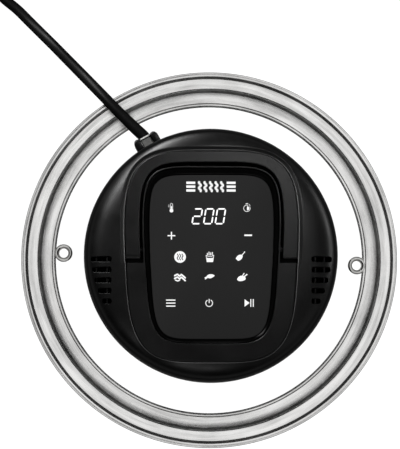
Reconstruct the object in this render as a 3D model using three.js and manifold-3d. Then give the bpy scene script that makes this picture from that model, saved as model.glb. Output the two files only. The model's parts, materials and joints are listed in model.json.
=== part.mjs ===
// Hot-air frying lid: a black head with a fan, a heater and a touch panel, set in a
// glass ring with a stepped steel rim that sits on a 24 cm pot.
// Millimetres, +Z up. The origin is on the head's axis, level with the lowest edge of
// the heating chamber, which the lid stands on. -Y is the user's side.
import * as THREE from "three";
import { mergeVertices } from "three/addons/utils/BufferGeometryUtils.js";
import Module from "manifold-3d";

const wasm = await Module();
wasm.setup();

// ---------- driving dimensions ----------
const RIM_R = 130; // outer lip of the steel rim
const HEAD_R = 84; // black head
const CHAMBER_R = 78; // heating chamber wall, outside
const GLASS_IN_R = 64;
const GLASS_OUT_R = 108.4;
const GLASS_Z = 38.3; // underside of the glass
const GLASS_T = 4;
const GLASS_TOP = GLASS_Z + GLASS_T;
const CHAMBER_TOP = 37.4;
const SHEET = 0.8; // pressed steel thickness
const RIM_SHEET = 0.9;
const HEAD_SPLIT_Z = 70; // joint between the base housing and the top cover
const DOME_H = 53.2; // top cover, from the split to the crown of its dome
const DOME_POWER = 8; // how square the dome's shoulder is
const WALL = 2.6; // moulded wall
const PLATEAU_Z = 123.2; // flush top of the handle, the front rest and the panel rim
const CLEAR = 0.3; // gap between fixed neighbours
const RING_SEGMENTS = 40;

// Handle and its hinge
const HINGE_Y = 3;
const HINGE_Z = 117.2;
const HANDLE_T = 12;
const HANDLE_HEEL = 6.1; // how far the legs run past the hinge
const HEEL_SWING = Math.hypot(HANDLE_HEEL, HANDLE_T / 2);
const PIN_R = 2;
const GROOVE_Z = HINGE_Z - HEEL_SWING - 0.4;
const FRONT_REST_Y = HINGE_Y - HEEL_SWING - 0.4; // rear face of the fixed front rest

// Outlines seen from above: half width, half height, centre and squareness
const PLATEAU = { w: 56.4, h: 68.5, y: -1.5, power: 4.1, taper: 0.085 };
const HANDLE_INNER = { w: 46.8, h: 60.6, y: -1.1, power: 4.9, taper: 0.1 };
const PANEL_RIM = { w: 45, h: 58, y: -1, power: 5.4, taper: 0.12 };
const PANEL = { w: 40.2, h: 53.1, y: -1.9, power: 6.2, taper: 0.105 };
const TAPER_FROM = 0.4; // the outlines narrow from here towards the front, -1 to 1
const GROOVE_GAP = 0.45;

// Vents in the head's shoulders
const VENT_COUNT = 5;
const VENT_PITCH = 6.8;
const VENT_FIRST_Y = -3.5;
const VENT_W = 3.1;
const VENT_IN_X = 64.6;
const VENT_OUT_R = 78.4;

// Mains cord
const CORD_R = 3.8;
const GLAND_ANGLE = 118.4; // degrees from +X
const GLAND_Z = 61;
const COIL_CENTRE = [-131.5, 250.5];
const COIL_R = 42; // middle of the turns
const COIL_HALF = 2 * CORD_R; // two turns side by side, two high
const PLUG_AT = [-44, 266];
const PLUG_Z = 19;

// ---------- materials ----------
const material = (color, roughness, metalness = 0, extra = {}) =>
  new THREE.MeshStandardMaterial({ color, roughness, metalness, ...extra });
const satinBlack = material(0x17171a, 0.5);
const glossBlack = material(0x050506, 0.15);
const panelBlack = material(0x232325, 0.2);
const steel = material(0xc9c8c5, 0.28, 1);
const darkSteel = material(0x77787a, 0.4, 1);
const clearGlass = material(0xf2f6f6, 0.03, 0, { transparent: true, opacity: 0.3 });
const silicone = material(0x3a3a3c, 0.8);
const mica = material(0xb8ad96, 0.9);
const board = material(0x24553a, 0.6);
const copper = material(0x9a5b32, 0.45, 0.6);
const laminate = material(0x55575a, 0.5, 0.9);
const aluminium = material(0xa9abad, 0.45, 1);
const nickel = material(0xd2cfc6, 0.25, 1);
const cordPvc = material(0x141415, 0.5);
const componentGrey = material(0x2d3236, 0.6);

// ---------- shape helpers ----------
const rad = THREE.MathUtils.degToRad;
const polar = (r, degrees) => [r * Math.cos(rad(degrees)), r * Math.sin(rad(degrees))];

/** A closed mesh as a manifold-3d solid. */
function solid(geometry) {
  const g = geometry.clone();
  g.deleteAttribute("normal");
  g.deleteAttribute("uv");
  const m = mergeVertices(g, 1e-4);
  return new wasm.Manifold(
    new wasm.Mesh({
      numProp: 3,
      vertProperties: m.attributes.position.array,
      triVerts: new Uint32Array(m.index.array),
    }),
  );
}

/** A manifold-3d solid as a three.js geometry. */
function geometryOf(made) {
  const m = made.getMesh();
  const g = new THREE.BufferGeometry();
  g.setAttribute("position", new THREE.BufferAttribute(m.vertProperties, 3));
  g.setIndex(new THREE.BufferAttribute(m.triVerts, 1));
  g.computeVertexNormals();
  return g;
}

const join = (first, ...rest) => rest.reduce((a, b) => a.add(b), first);
const cut = (first, ...rest) => rest.reduce((a, b) => a.subtract(b), first);

/** A solid turned about Z from a closed profile of [r, z] points, in either direction. */
function turned(profile, segments = RING_SEGMENTS) {
  const area = profile.reduce((sum, [r, z], i) => {
    const [r2, z2] = profile[(i + 1) % profile.length];
    return sum + r * z2 - r2 * z;
  }, 0);
  const ordered = area < 0 ? [...profile].reverse() : [...profile];
  const onAxis = ordered.some(([r]) => r === 0);
  if (onAxis) {
    // start at the lower axis point, so that the open side of the profile is the axis
    while (!(ordered[0][0] === 0 && ordered.at(-1)[0] === 0)) ordered.push(ordered.shift());
  } else {
    ordered.push(ordered[0]);
  }
  const points = ordered.map(([r, z]) => new THREE.Vector2(r, z));
  return solid(new THREE.LatheGeometry(points, segments).rotateX(Math.PI / 2));
}

/** The closed profile of a pressed sheet from the line along its middle. */
function sheetProfile(line, thickness) {
  const side = (sign) =>
    line.map(([r, z], i) => {
      const before = line[Math.max(i - 1, 0)];
      const after = line[Math.min(i + 1, line.length - 1)];
      const unit = ([a, b], [c, d]) => {
        const long = Math.hypot(c - a, d - b) || 1;
        return [(c - a) / long, (d - b) / long];
      };
      const into = i ? unit(before, [r, z]) : unit([r, z], after);
      const out = i < line.length - 1 ? unit([r, z], after) : into;
      const normal = [-(into[1] + out[1]), into[0] + out[0]];
      const long = Math.hypot(...normal);
      const miter = 2 / long;
      const offset = (sign * thickness * Math.min(miter, 1.6)) / 2;
      return [r + (normal[0] / long) * offset, z + (normal[1] / long) * offset];
    });
  return [...side(1), ...side(-1).reverse()];
}

const cylinder = (r, z0, z1, [x, y] = [0, 0], segments = 16) =>
  solid(
    new THREE.CylinderGeometry(r, r, z1 - z0, segments)
      .rotateX(Math.PI / 2)
      .translate(x, y, (z0 + z1) / 2),
  );
const box = ([x0, x1], [y0, y1], [z0, z1]) =>
  solid(
    new THREE.BoxGeometry(x1 - x0, y1 - y0, z1 - z0).translate(
      (x0 + x1) / 2,
      (y0 + y1) / 2,
      (z0 + z1) / 2,
    ),
  );
const spun = (made, degrees) => made.rotate([0, 0, degrees]);
const tubeRing = (inner, outer, z0, z1, segments = RING_SEGMENTS) =>
  turned([[inner, z0], [outer, z0], [outer, z1], [inner, z1]], segments);

/** Points of a rounded outline: a superellipse that narrows towards the front. */
function outlinePoints({ w, h, y, power, taper }, grow = 0, count = 36) {
  const round = (value) => Math.sign(value) * Math.abs(value) ** (2 / power);
  return Array.from({ length: count }, (_, i) => {
    const t = (2 * Math.PI * i) / count;
    const across = round(Math.cos(t));
    const along = round(Math.sin(t));
    const narrowing = 1 - taper * (Math.max(0, TAPER_FROM - along) / (1 + TAPER_FROM)) ** 1.5;
    return new THREE.Vector2((w + grow) * across * narrowing, y + (h + grow) * along);
  });
}
const prism = (points, z0, z1, options = {}) =>
  solid(
    new THREE.ExtrudeGeometry(new THREE.Shape(points), {
      depth: z1 - z0,
      bevelEnabled: false,
      ...options,
    }).translate(0, 0, z0),
  );
const outlinePrism = (outline, grow, z0, z1) => prism(outlinePoints(outline, grow), z0, z1);

/** A solid of round section along a smooth curve through points. */
function tube(points, r, steps, curveSegments = 5) {
  const path = new THREE.CatmullRomCurve3(
    points.map((p) => new THREE.Vector3(...p)),
    false,
    "centripetal",
  );
  const section = new THREE.Shape().absarc(0, 0, r, 0, 2 * Math.PI);
  return solid(
    new THREE.ExtrudeGeometry(section, {
      extrudePath: path,
      steps,
      curveSegments,
      bevelEnabled: false,
    }),
  );
}

/** A pan-head screw along +Z: the head hangs below z, the shank rises above it. */
const screw = (at, z, shankTop, shankR = 1.8, headR = 3.4, headH = 1.7) =>
  join(
    cylinder(headR, z - headH, z, at, 12),
    cylinder(shankR, z - 0.4, shankTop, at, 10),
  );

const group = new THREE.Group();
group.name = "hot_air_lid";
function part(name, made, look, parent = group) {
  const mesh = new THREE.Mesh(geometryOf(made), look);
  mesh.name = name;
  parent.add(mesh);
  return mesh;
}

// ---------- glass ring, steel rim and steam vents ----------
const STEAM_FLANGE_R = 6.2;
const STEAM_TAIL_R = 5.2; // flange under the glass
const steamPlaces = [["left", polar(101.4, 177.6)], ["right", polar(103, -2.4)]];
const flangeClearance = steamPlaces.map(([, at]) =>
  cylinder(STEAM_FLANGE_R + CLEAR, GLASS_TOP, GLASS_TOP + 4, at, 20),
);
const tailClearance = steamPlaces.map(([, at]) =>
  cylinder(STEAM_TAIL_R + CLEAR, GLASS_Z - 3, GLASS_Z, at, 20),
);

// Middle line of the rim's sheet, from the bead on the glass to the outer lip: two
// steps that rise outwards. The second step's flat underside rests on the pot.
const SEAT_Z = GLASS_TOP + 7.5;
const rimLine = [
  [107.2, GLASS_TOP + 0.9],
  [108, GLASS_TOP + 1.7],
  [109, GLASS_TOP + 1],
  [113.6, GLASS_TOP + 1],
  [115.2, GLASS_TOP + 2.4],
  [117.2, SEAT_Z - 1.3],
  [119, SEAT_Z],
  [124, SEAT_Z],
  [125.8, SEAT_Z + 1.5],
  [127.2, SEAT_Z + 3.2],
  [128.6, SEAT_Z + 3.5],
  [RIM_R - RIM_SHEET / 2, SEAT_Z + 2.1],
];
part("steel_rim", cut(turned(sheetProfile(rimLine, RIM_SHEET)), ...flangeClearance), steel);

const RETAINER_R = 109.8;
const RETAINER_LIP_R = 106.6;
const RETAINER_Z = GLASS_Z - SHEET - 0.1;
const retainer = turned([
  [RETAINER_LIP_R, RETAINER_Z],
  [RETAINER_R, RETAINER_Z],
  [RETAINER_R, GLASS_TOP + 0.1],
  [RETAINER_R - SHEET, GLASS_TOP + 0.1],
  [RETAINER_R - SHEET, RETAINER_Z + SHEET],
  [RETAINER_LIP_R, RETAINER_Z + SHEET],
]);
part("glass_retainer", cut(retainer, ...tailClearance), steel);

const glassHoles = steamPlaces.map(([, at]) =>
  cylinder(4.5, GLASS_Z - 1, GLASS_TOP + 1, at, 16),
);
part(
  "glass_ring",
  cut(tubeRing(GLASS_IN_R, GLASS_OUT_R, GLASS_Z, GLASS_TOP), ...glassHoles),
  clearGlass,
);

const eyelet = [
  [3.1, GLASS_Z - 1],
  [STEAM_TAIL_R, GLASS_Z - 0.9],
  [STEAM_TAIL_R, GLASS_Z - 0.2],
  [4.1, GLASS_Z - 0.2],
  [4.1, GLASS_TOP + 0.2],
  [STEAM_FLANGE_R, GLASS_TOP + 0.2],
  [STEAM_FLANGE_R - 0.3, GLASS_TOP + 1.1],
  [5, GLASS_TOP + 1.9],
  [3.7, GLASS_TOP + 1.5],
  [3.1, GLASS_TOP + 0.6],
];
steamPlaces.forEach(([side, [x, y]]) => {
  part(`steam_vent_${side}`, turned(eyelet, 16), nickel).position.set(x, y, 0);
});

part("upper_gasket", tubeRing(70, 79, GLASS_TOP + 0.1, GLASS_TOP + 0.8, 36), silicone);
part("lower_gasket", tubeRing(66, 76, CHAMBER_TOP + 0.1, GLASS_Z - 0.1, 36), silicone);

// ---------- heating chamber, guard, heater and hot-side fan ----------
const CLAMP_ANGLES = [30, 150, 270];
const CLAMP_R = 59;
const GUARD_ANGLES = [90, 210, 330];
const GUARD_SCREW_R = 73;
const GUARD_Z = 2.1;
const PROBE_AT = polar(54, 90);
const TERMINALS = [polar(56, 0), polar(53, -20)];
const ELEMENT_R = 3.2;

const chamberShell = turned([
  [8, CHAMBER_TOP - SHEET],
  [76.2, CHAMBER_TOP - SHEET],
  [CHAMBER_R - SHEET, CHAMBER_TOP - 1.8],
  [CHAMBER_R - SHEET, 1.9],
  [76.4, 1.9],
  [76.4, 0],
  [CHAMBER_R + 0.4, 0],
  [CHAMBER_R + 0.4, 1.9],
  [CHAMBER_R, 1.9],
  [CHAMBER_R, CHAMBER_TOP - 1.5],
  [76.5, CHAMBER_TOP],
  [8, CHAMBER_TOP],
]);
const guardTabs = GUARD_ANGLES.map((a) => spun(box([69, 77.5], [-6, 6], [3.4, 4.2]), a));
const chamberHoles = [
  ...CLAMP_ANGLES.map((a) => cylinder(2.2, 30, 40, polar(CLAMP_R, a), 12)),
  ...GUARD_ANGLES.map((a) => cylinder(2.1, 3, 5, polar(GUARD_SCREW_R, a), 12)),
  ...TERMINALS.map((at) => cylinder(ELEMENT_R + 0.6, 30, 40, at, 12)),
  cylinder(2.6, 30, 40, PROBE_AT, 12),
];
part("heating_chamber", cut(join(chamberShell, ...guardTabs), ...chamberHoles), steel);

/** A ring-shaped slot of the guard, as a hole for a shape. */
function arcSlot(inner, outer, from, to) {
  const hole = new THREE.Path();
  hole.absarc(0, 0, outer, rad(from), rad(to), false);
  hole.absarc(0, 0, inner, rad(to), rad(from), true);
  hole.closePath();
  return hole;
}
const guardShape = new THREE.Shape().absarc(0, 0, 76, 0, 2 * Math.PI);
for (const [inner, outer, count, bar] of [[11, 27, 4, 14], [31, 46, 6, 8], [50, 65, 8, 6]]) {
  for (let i = 0; i < count; i++) {
    const from = (360 / count) * i + bar / 2;
    guardShape.holes.push(arcSlot(inner, outer, from, from + 360 / count - bar));
  }
}
const guardPlate = solid(
  new THREE.ExtrudeGeometry(guardShape, {
    depth: 1,
    curveSegments: 4,
    bevelEnabled: false,
  }).translate(0, 0, GUARD_Z),
);
const guardHoles = GUARD_ANGLES.map((a) => cylinder(2.1, 1, 4, polar(GUARD_SCREW_R, a), 12));
// a coarse arc count is enough for the slots, so the outside edge is turned separately
const guardEdge = tubeRing(66, 76, GUARD_Z, GUARD_Z + 1);
const guardField = guardPlate.intersect(cylinder(67, 0, 5, [0, 0], RING_SEGMENTS));
part("fan_guard", cut(join(guardField, guardEdge), ...guardHoles), steel);
GUARD_ANGLES.forEach((a, i) => {
  const [x, y] = polar(GUARD_SCREW_R, a);
  part(`guard_screw_${i + 1}`, screw([0, 0], 1.9, 6.5, 1.8, 3.2, 1.4), nickel).position.set(x, y, 0);
});

// Heater: a sheathed rod in two turns, with both cold ends rising through the chamber's roof
const elementPoints = [];
const COIL_TURN_R = 62;
const TURNS_FROM = 25;
const TURNS_SWEEP = 640;
const COLD_END_Z = 48;
elementPoints.push([...TERMINALS[0], COLD_END_Z], [...TERMINALS[0], 34]);
elementPoints.push([...polar(58.5, 9), 28.6]);
const TURN_STEPS = 26;
for (let i = 0; i <= TURN_STEPS; i++) {
  const share = i / TURN_STEPS;
  elementPoints.push([
    ...polar(COIL_TURN_R, TURNS_FROM + TURNS_SWEEP * share),
    27 - 14 * share,
  ]);
}
elementPoints.push([...polar(59, -38), 12.8], [...polar(54, -25), 15]);
elementPoints.push([...TERMINALS[1], 22], [...TERMINALS[1], COLD_END_Z]);
part("heating_element", tube(elementPoints, ELEMENT_R, 64, 4), darkSteel);

/** A fan wheel: hub, back plate and straight blades set at an angle. */
function fanWheel({ hubR, hubZ, plateR, plateZ, bladeZ, bladeFrom, blades, lean }) {
  const hub = cylinder(hubR, ...hubZ, [0, 0], 20);
  const plate = cylinder(plateR, ...plateZ, [0, 0], 32);
  const long = plateR - bladeFrom;
  const wings = Array.from({ length: blades }, (_, i) =>
    box([-long / 2, long / 2], [-0.5, 0.5], bladeZ)
      .rotate([0, 0, lean])
      .translate([(plateR + bladeFrom) / 2 - 1.6, 0, 0])
      .rotate([0, 0, (360 / blades) * i]),
  );
  const bore = cylinder(3.12, -10, 120, [0, 0], 16);
  return cut(join(hub, plate, ...wings), bore);
}

const rotor = new THREE.Group();
group.add(rotor);
part(
  "circulation_fan",
  fanWheel({
    hubR: 9,
    hubZ: [14, 29],
    plateR: 47,
    plateZ: [27, 28.2],
    bladeZ: [16, 27.5],
    bladeFrom: 17,
    blades: 8,
    lean: 24,
  }),
  aluminium,
  rotor,
);
part(
  "cooling_fan",
  fanWheel({
    hubR: 8,
    hubZ: [53, 58.6],
    plateR: 42,
    plateZ: [53, 54.2],
    bladeZ: [53.8, 59.4],
    bladeFrom: 15,
    blades: 9,
    lean: 30,
  }),
  componentGrey,
  rotor,
);
part("motor_shaft", cylinder(3, 8.5, 94, [0, 0], 16), nickel, rotor);
part("rotor_core", cut(cylinder(12.6, 65, 85, [0, 0], 24), cylinder(3.12, 60, 90)), laminate, rotor);
part("fan_nut", cut(cylinder(5.6, 9.6, 13.8, [0, 0], 6), cylinder(3.12, 5, 20)), nickel, rotor);

part("insulation_pad", tubeRing(9, 48, CHAMBER_TOP + 0.3, 43, 32), mica);
part("heat_shield", tubeRing(10, 61, 50.6, 51.4, 36), darkSteel);
part("thermal_cutout", cylinder(6, CHAMBER_TOP + 0.2, 45.5, polar(55.5, 205), 16), componentGrey);
part("temperature_probe", cylinder(2.2, 25, 46, PROBE_AT, 12), nickel);

// ---------- black head: base housing ----------
const COVER_SCREW_ANGLES = [30, 150, 270];
const COVER_SCREW_R = 75;
const LEDGE_Z = 60;
const BOARD_POSTS = [[-24, -66], [24, -66]];
const BOARD_Z = 68;

const housingShell = turned([
  [63.5, GLASS_TOP + 0.9],
  [HEAD_R + 1.4, GLASS_TOP + 0.9],
  [HEAD_R + 1.4, GLASS_TOP + 2.3],
  [HEAD_R - 0.6, GLASS_TOP + 3.1],
  [HEAD_R, 52],
  [HEAD_R, HEAD_SPLIT_Z - 0.2],
  [HEAD_R - WALL, HEAD_SPLIT_Z - 0.2],
  [HEAD_R - WALL, 56],
  [81.2, 49],
  [79.2, 45.9],
  [63.5, 45.9],
]);
const clampBosses = CLAMP_ANGLES.map((a) =>
  join(
    cylinder(4, CHAMBER_TOP + 0.2, 50.3, polar(CLAMP_R, a), 14),
    spun(box([CLAMP_R, 66], [-2.5, 2.5], [GLASS_TOP + 1.2, 50]), a),
  ),
);
const coverLedges = COVER_SCREW_ANGLES.map((a) =>
  spun(box([70, HEAD_R - 1.5], [-5, 5], [LEDGE_Z, LEDGE_Z + 2.4]), a),
);
const boardPosts = BOARD_POSTS.map((at) => cylinder(3, 45, BOARD_Z - 0.2, at, 12));
const housingHoles = [
  ...CLAMP_ANGLES.map((a) => cylinder(2.05, 36, 47.5, polar(CLAMP_R, a), 12)),
  ...COVER_SCREW_ANGLES.map((a) => cylinder(2.05, 58, 64, polar(COVER_SCREW_R, a), 12)),
];
const BUSH_W = 8.4;
const BUSH_H = 9.4;
const bushSlot = spun(
  box([76, 96], [-BUSH_W / 2 - 0.3, BUSH_W / 2 + 0.3], [GLAND_Z - BUSH_H / 2 - 0.3, GLAND_Z + BUSH_H / 2 + 0.3]),
  GLAND_ANGLE,
);
part(
  "base_housing",
  cut(join(housingShell, ...clampBosses, ...coverLedges, ...boardPosts), ...housingHoles, bushSlot),
  satinBlack,
);
CLAMP_ANGLES.forEach((a, i) => {
  const [x, y] = polar(CLAMP_R, a);
  const made = screw([0, 0], CHAMBER_TOP - SHEET - 0.1, 47, 1.85, 3.5, 1.8);
  part(`clamp_screw_${i + 1}`, made, nickel).position.set(x, y, 0);
});
COVER_SCREW_ANGLES.forEach((a, i) => {
  const [x, y] = polar(COVER_SCREW_R, a);
  part(`cover_screw_${i + 1}`, screw([0, 0], LEDGE_Z - 0.1, 73, 1.85), nickel).position.set(x, y, 0);
});

// ---------- black head: top cover ----------
const FLOOR = 2.3; // under the handle's groove and under the panel
const POCKET_Z = 118.6; // floor that the bezel and the panel sit on
const FAR = 200;

/** The dome as a solid body, drawn in by inset. */
function dome(inset, z0 = HEAD_SPLIT_Z, steps = 8) {
  const profile = [[0, z0]];
  for (let i = 0; i <= steps; i++) {
    const t = (Math.PI / 2) * (i / steps);
    const r = (HEAD_R - inset) * Math.cos(t) ** (2 / DOME_POWER);
    const z = HEAD_SPLIT_Z + (DOME_H - inset) * Math.sin(t) ** (2 / DOME_POWER);
    profile.push([i === steps ? 0 : r, i === 0 ? z0 : z]);
  }
  return turned(profile);
}

const behind = (y) => box([-FAR, FAR], [y, FAR], [-FAR, FAR]);
const plateau = outlinePrism(PLATEAU, 0, 100, PLATEAU_Z);
const outside = join(dome(0), plateau);

// the hollow: the dome's inside but for the walls of the groove and the panel's pocket,
// the display space, and the space in the front rest
const grooveBlock = outlinePrism(PLATEAU, GROOVE_GAP + FLOOR, GROOVE_Z - FLOOR, FAR);
const hollowDome = cut(dome(WALL, 60), grooveBlock);
const hollowDisplay = outlinePrism(PANEL_RIM, -2.4, 100, POCKET_Z - FLOOR);
const frontRest = cut(
  outlinePrism(PLATEAU, -2.4, 100, PLATEAU_Z - 2.2),
  outlinePrism(PANEL_RIM, 1.2, 90, FAR),
  behind(FRONT_REST_Y - 2.4),
);
const hollowFront = frontRest.intersect(dome(WALL, 60));
const pocket = outlinePrism(PANEL_RIM, -1, POCKET_Z, FAR);
const grooveRing = cut(
  outlinePrism(PLATEAU, GROOVE_GAP, GROOVE_Z, FAR),
  outlinePrism(PANEL_RIM, 0, 90, FAR),
);
const groove = grooveRing.intersect(behind(FRONT_REST_Y));

/** Plan of one cooling slot on the right-hand side, a capsule along X. */
function ventSlot(index) {
  const y = VENT_FIRST_Y - index * VENT_PITCH;
  const r = VENT_W / 2;
  const x1 = Math.sqrt(VENT_OUT_R ** 2 - y ** 2) - r - index * 0.35;
  const capsule = new THREE.Shape();
  capsule.absarc(x1, y, r, -Math.PI / 2, Math.PI / 2);
  capsule.absarc(VENT_IN_X + r, y, r, Math.PI / 2, (3 * Math.PI) / 2);
  return solid(
    new THREE.ExtrudeGeometry(capsule, { depth: 40, curveSegments: 3, bevelEnabled: false })
      .translate(0, 0, 90),
  );
}
const slotsRight = Array.from({ length: VENT_COUNT }, (_, i) => ventSlot(i));
const ventSlots = [...slotsRight, ...slotsRight.map((s) => s.mirror([1, 0, 0]))];
const ventRibs = [68.4, 73.4].flatMap((x) => {
  const rib = cut(
    box([x, x + 1.2], [-35, 0], [97, FAR]).intersect(dome(2.2, 60)),
    ...slotsRight.map((slot) => slot.intersect(cut(dome(0), dome(3.4)))),
  );
  return [rib, rib.mirror([1, 0, 0])];
});

const coverPosts = COVER_SCREW_ANGLES.map((a) =>
  cylinder(3.8, LEDGE_Z + 2.6, FAR, polar(COVER_SCREW_R, a), 12).intersect(dome(1.2, 60)),
);
const postHoles = COVER_SCREW_ANGLES.map((a) => cylinder(2.05, 60, 75, polar(COVER_SCREW_R, a), 12));
const across = (r, x0, x1) =>
  solid(
    new THREE.CylinderGeometry(r, r, x1 - x0, 16)
      .rotateZ(Math.PI / 2)
      .translate((x0 + x1) / 2, HINGE_Y, HINGE_Z),
  );
const PIN_X = [PANEL_RIM.w - 1, 58.4];
const pinHoles = [
  across(PIN_R + 0.08, PIN_X[0] - 0.2, PIN_X[1] + 0.2),
  across(PIN_R + 0.08, -PIN_X[1] - 0.2, 0.2 - PIN_X[0]),
];
const DISPLAY_Y = 23.5;
const displayWindow = box([-20, 20], [DISPLAY_Y - 10, DISPLAY_Y + 10], [110, 125]);
const PLUNGER_AT = [-51, 30];
const plungerHole = cylinder(1.8, 100, 112, PLUNGER_AT, 12);

let cover = cut(outside, hollowDome, hollowDisplay, hollowFront, pocket, groove, ...ventSlots);
cover = join(cover, ...ventRibs, ...coverPosts);
part("top_cover", cut(cover, ...postHoles, ...pinHoles, displayWindow, plungerHole), satinBlack);

// ---------- touch panel and display ----------
part(
  "panel_bezel",
  cut(
    outlinePrism(PANEL_RIM, -1.3, POCKET_Z + 0.1, POCKET_Z + 2),
    outlinePrism(PANEL, 0.3, 100, FAR),
  ),
  glossBlack,
);
part("touch_panel", outlinePrism(PANEL, 0, POCKET_Z + 0.1, PLATEAU_Z - 1.2), panelBlack);
part("led_display", box([-18, 18], [DISPLAY_Y - 8, DISPLAY_Y + 8], [112.2, POCKET_Z - 0.2]), componentGrey);
part("display_board", box([-35, 35], [-44, 44], [110.4, 112]), board);

// ---------- carrying handle, its pins and the safety switch ----------
const HANDLE_BEVEL = 1.4;
const handleShape = new THREE.Shape(outlinePoints(PLATEAU));
handleShape.holes.push(new THREE.Path(outlinePoints(HANDLE_INNER)));
const handleRing = solid(
  new THREE.ExtrudeGeometry(handleShape, {
    depth: HANDLE_T - 2 * HANDLE_BEVEL,
    bevelThickness: HANDLE_BEVEL,
    bevelSize: HANDLE_BEVEL,
    bevelOffset: -HANDLE_BEVEL,
    bevelSegments: 1,
  }).translate(0, 0, PLATEAU_Z - HANDLE_T + HANDLE_BEVEL),
);
const handle = cut(
  handleRing.intersect(behind(HINGE_Y - HANDLE_HEEL)),
  across(PIN_R + 0.08, 40, 60),
  across(PIN_R + 0.08, -60, -40),
);
part("carry_handle", handle, satinBlack);
part("hinge_pin_right", across(PIN_R, ...PIN_X), nickel);
part("hinge_pin_left", across(PIN_R, -PIN_X[1], -PIN_X[0]), nickel);

const switchTop = GROOVE_Z - FLOOR - CLEAR;
part(
  "safety_switch",
  box([PLUNGER_AT[0] - 3.2, PLUNGER_AT[0] + 3.2], [20, 40], [switchTop - 10, switchTop]),
  componentGrey,
);
part(
  "switch_plunger",
  cylinder(1.4, switchTop + 0.2, PLATEAU_Z - HANDLE_T - 0.2, PLUNGER_AT, 12),
  componentGrey,
);

// ---------- motor ----------
const MOTOR_SCREW_X = 21;
const bracketLegs = [30, 150, 270].map((a) =>
  spun(join(box([46, 48], [-5, 5], [51.6, 63.4]), box([46, 56], [-5, 5], [51.6, 52.8])), a),
);
const bracketPlate = cut(
  join(cylinder(48, 62.2, 63.4, [0, 0], 30), cylinder(10.5, 59.8, 65, [0, 0], 20)),
  box([-14.5, 14.5], [17.5, 60], [60, 65]),
  cylinder(8.1, 59, 66, [0, 0], 20),
  ...[-1, 1].map((s) => cylinder(2.2, 60, 65, [s * MOTOR_SCREW_X, 0], 12)),
);
part("motor_bracket", join(bracketPlate, ...bracketLegs), darkSteel);
const bearing = (z) => cut(cylinder(8, z, z + 4.8, [0, 0], 20), cylinder(3.12, z - 1, z + 6));
part("lower_bearing", bearing(60), nickel);
part("upper_bearing", bearing(86.5), nickel);

const STACK_Z = [66, 84];
const stack = cut(
  box([-26, 26], [-24, 44], STACK_Z),
  box([-14, 14], [18.5, 30], [60, 90]),
  cylinder(13.2, 60, 90, [0, 0], 24),
  ...[-1, 1].map((s) => cylinder(2.3, 60, 90, [s * MOTOR_SCREW_X, 0], 12)),
);
part("stator_stack", stack, laminate);
part(
  "stator_coil",
  cut(
    box([-13, 13], [20, 54], [STACK_Z[0] - 5.4, STACK_Z[1] + 5.4]),
    box([-20, 20], [29.8, 44.2], [STACK_Z[0] - 0.2, STACK_Z[1] + 0.2]),
  ),
  copper,
);
part(
  "bearing_bridge",
  cut(
    join(
      box([-28, 28], [-7, 7], [89.4, 91]),
      ...[-1, 1].map((s) => box([s * 24.5 - 3.5, s * 24.5 + 3.5], [-7, 7], [STACK_Z[1] + 0.2, 90])),
      cylinder(10.5, 86.3, 91, [0, 0], 20),
    ),
    cylinder(8.1, 80, 95, [0, 0], 20),
    ...[-1, 1].map((s) => cylinder(2.2, 80, 95, [s * MOTOR_SCREW_X, 0], 12)),
  ),
  darkSteel,
);
[["left", -1], ["right", 1]].forEach(([side, s]) => {
  const made = join(cylinder(1.9, 61, 91.4, [0, 0], 10), cylinder(3.2, 91.2, 93, [0, 0], 12));
  part(`motor_screw_${side}`, made, nickel).position.set(s * MOTOR_SCREW_X, 0, 0);
});

// ---------- power electronics ----------
part("power_board", box([-33, 33], [-70.8, -29], [BOARD_Z, BOARD_Z + 1.6]), board);
const onBoard = (x, y, z) => [x, y, [BOARD_Z + 1.8, BOARD_Z + 1.8 + z]];
part("transformer", box(...onBoard([-29, -5], [-56, -34], 19)), componentGrey);
part("relay", box(...onBoard([2, 20], [-50, -35], 15)), componentGrey);
part("filter_capacitor", box(...onBoard([-12, 14], [-69, -60], 16)), componentGrey);

// ---------- cord entry ----------
const LOBE_R = 4.8;
const glandPlan = new THREE.Shape();
const GLAND_OUT = HEAD_R + 11;
const GLAND_HALF = 8.8;
glandPlan.moveTo(HEAD_R - 4, -GLAND_HALF);
glandPlan.lineTo(GLAND_OUT - LOBE_R, -GLAND_HALF);
glandPlan.absarc(GLAND_OUT - LOBE_R, LOBE_R - GLAND_HALF, LOBE_R, -Math.PI / 2, 0);
glandPlan.absarc(GLAND_OUT - LOBE_R, GLAND_HALF - LOBE_R, LOBE_R, 0, Math.PI / 2);
glandPlan.lineTo(HEAD_R - 4, GLAND_HALF);
const glandBody = solid(
  new THREE.ExtrudeGeometry(glandPlan, { depth: 14, curveSegments: 4, bevelEnabled: false })
    .translate(0, 0, GLAND_Z - 7),
);
part(
  "cord_gland",
  cut(spun(glandBody, GLAND_ANGLE), cylinder(HEAD_R + CLEAR, 40, 80, [0, 0], RING_SEGMENTS), bushSlot),
  satinBlack,
);
const cordBore = solid(
  new THREE.CylinderGeometry(CORD_R + 0.1, CORD_R + 0.1, 60, 12)
    .rotateZ(Math.PI / 2)
    .translate(HEAD_R, 0, GLAND_Z),
);
const BUSH_OUT = GLAND_OUT - 0.6;
const bush = join(
  box([76.5, BUSH_OUT], [-BUSH_W / 2, BUSH_W / 2], [GLAND_Z - BUSH_H / 2, GLAND_Z + BUSH_H / 2]),
  box([76.5, 79.5], [-BUSH_W / 2 - 2, BUSH_W / 2 + 2], [GLAND_Z - BUSH_H / 2 - 1.5, GLAND_Z + BUSH_H / 2 + 1.5]),
);
part("cord_bush", spun(cut(bush, cordBore), GLAND_ANGLE), satinBlack);

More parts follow.
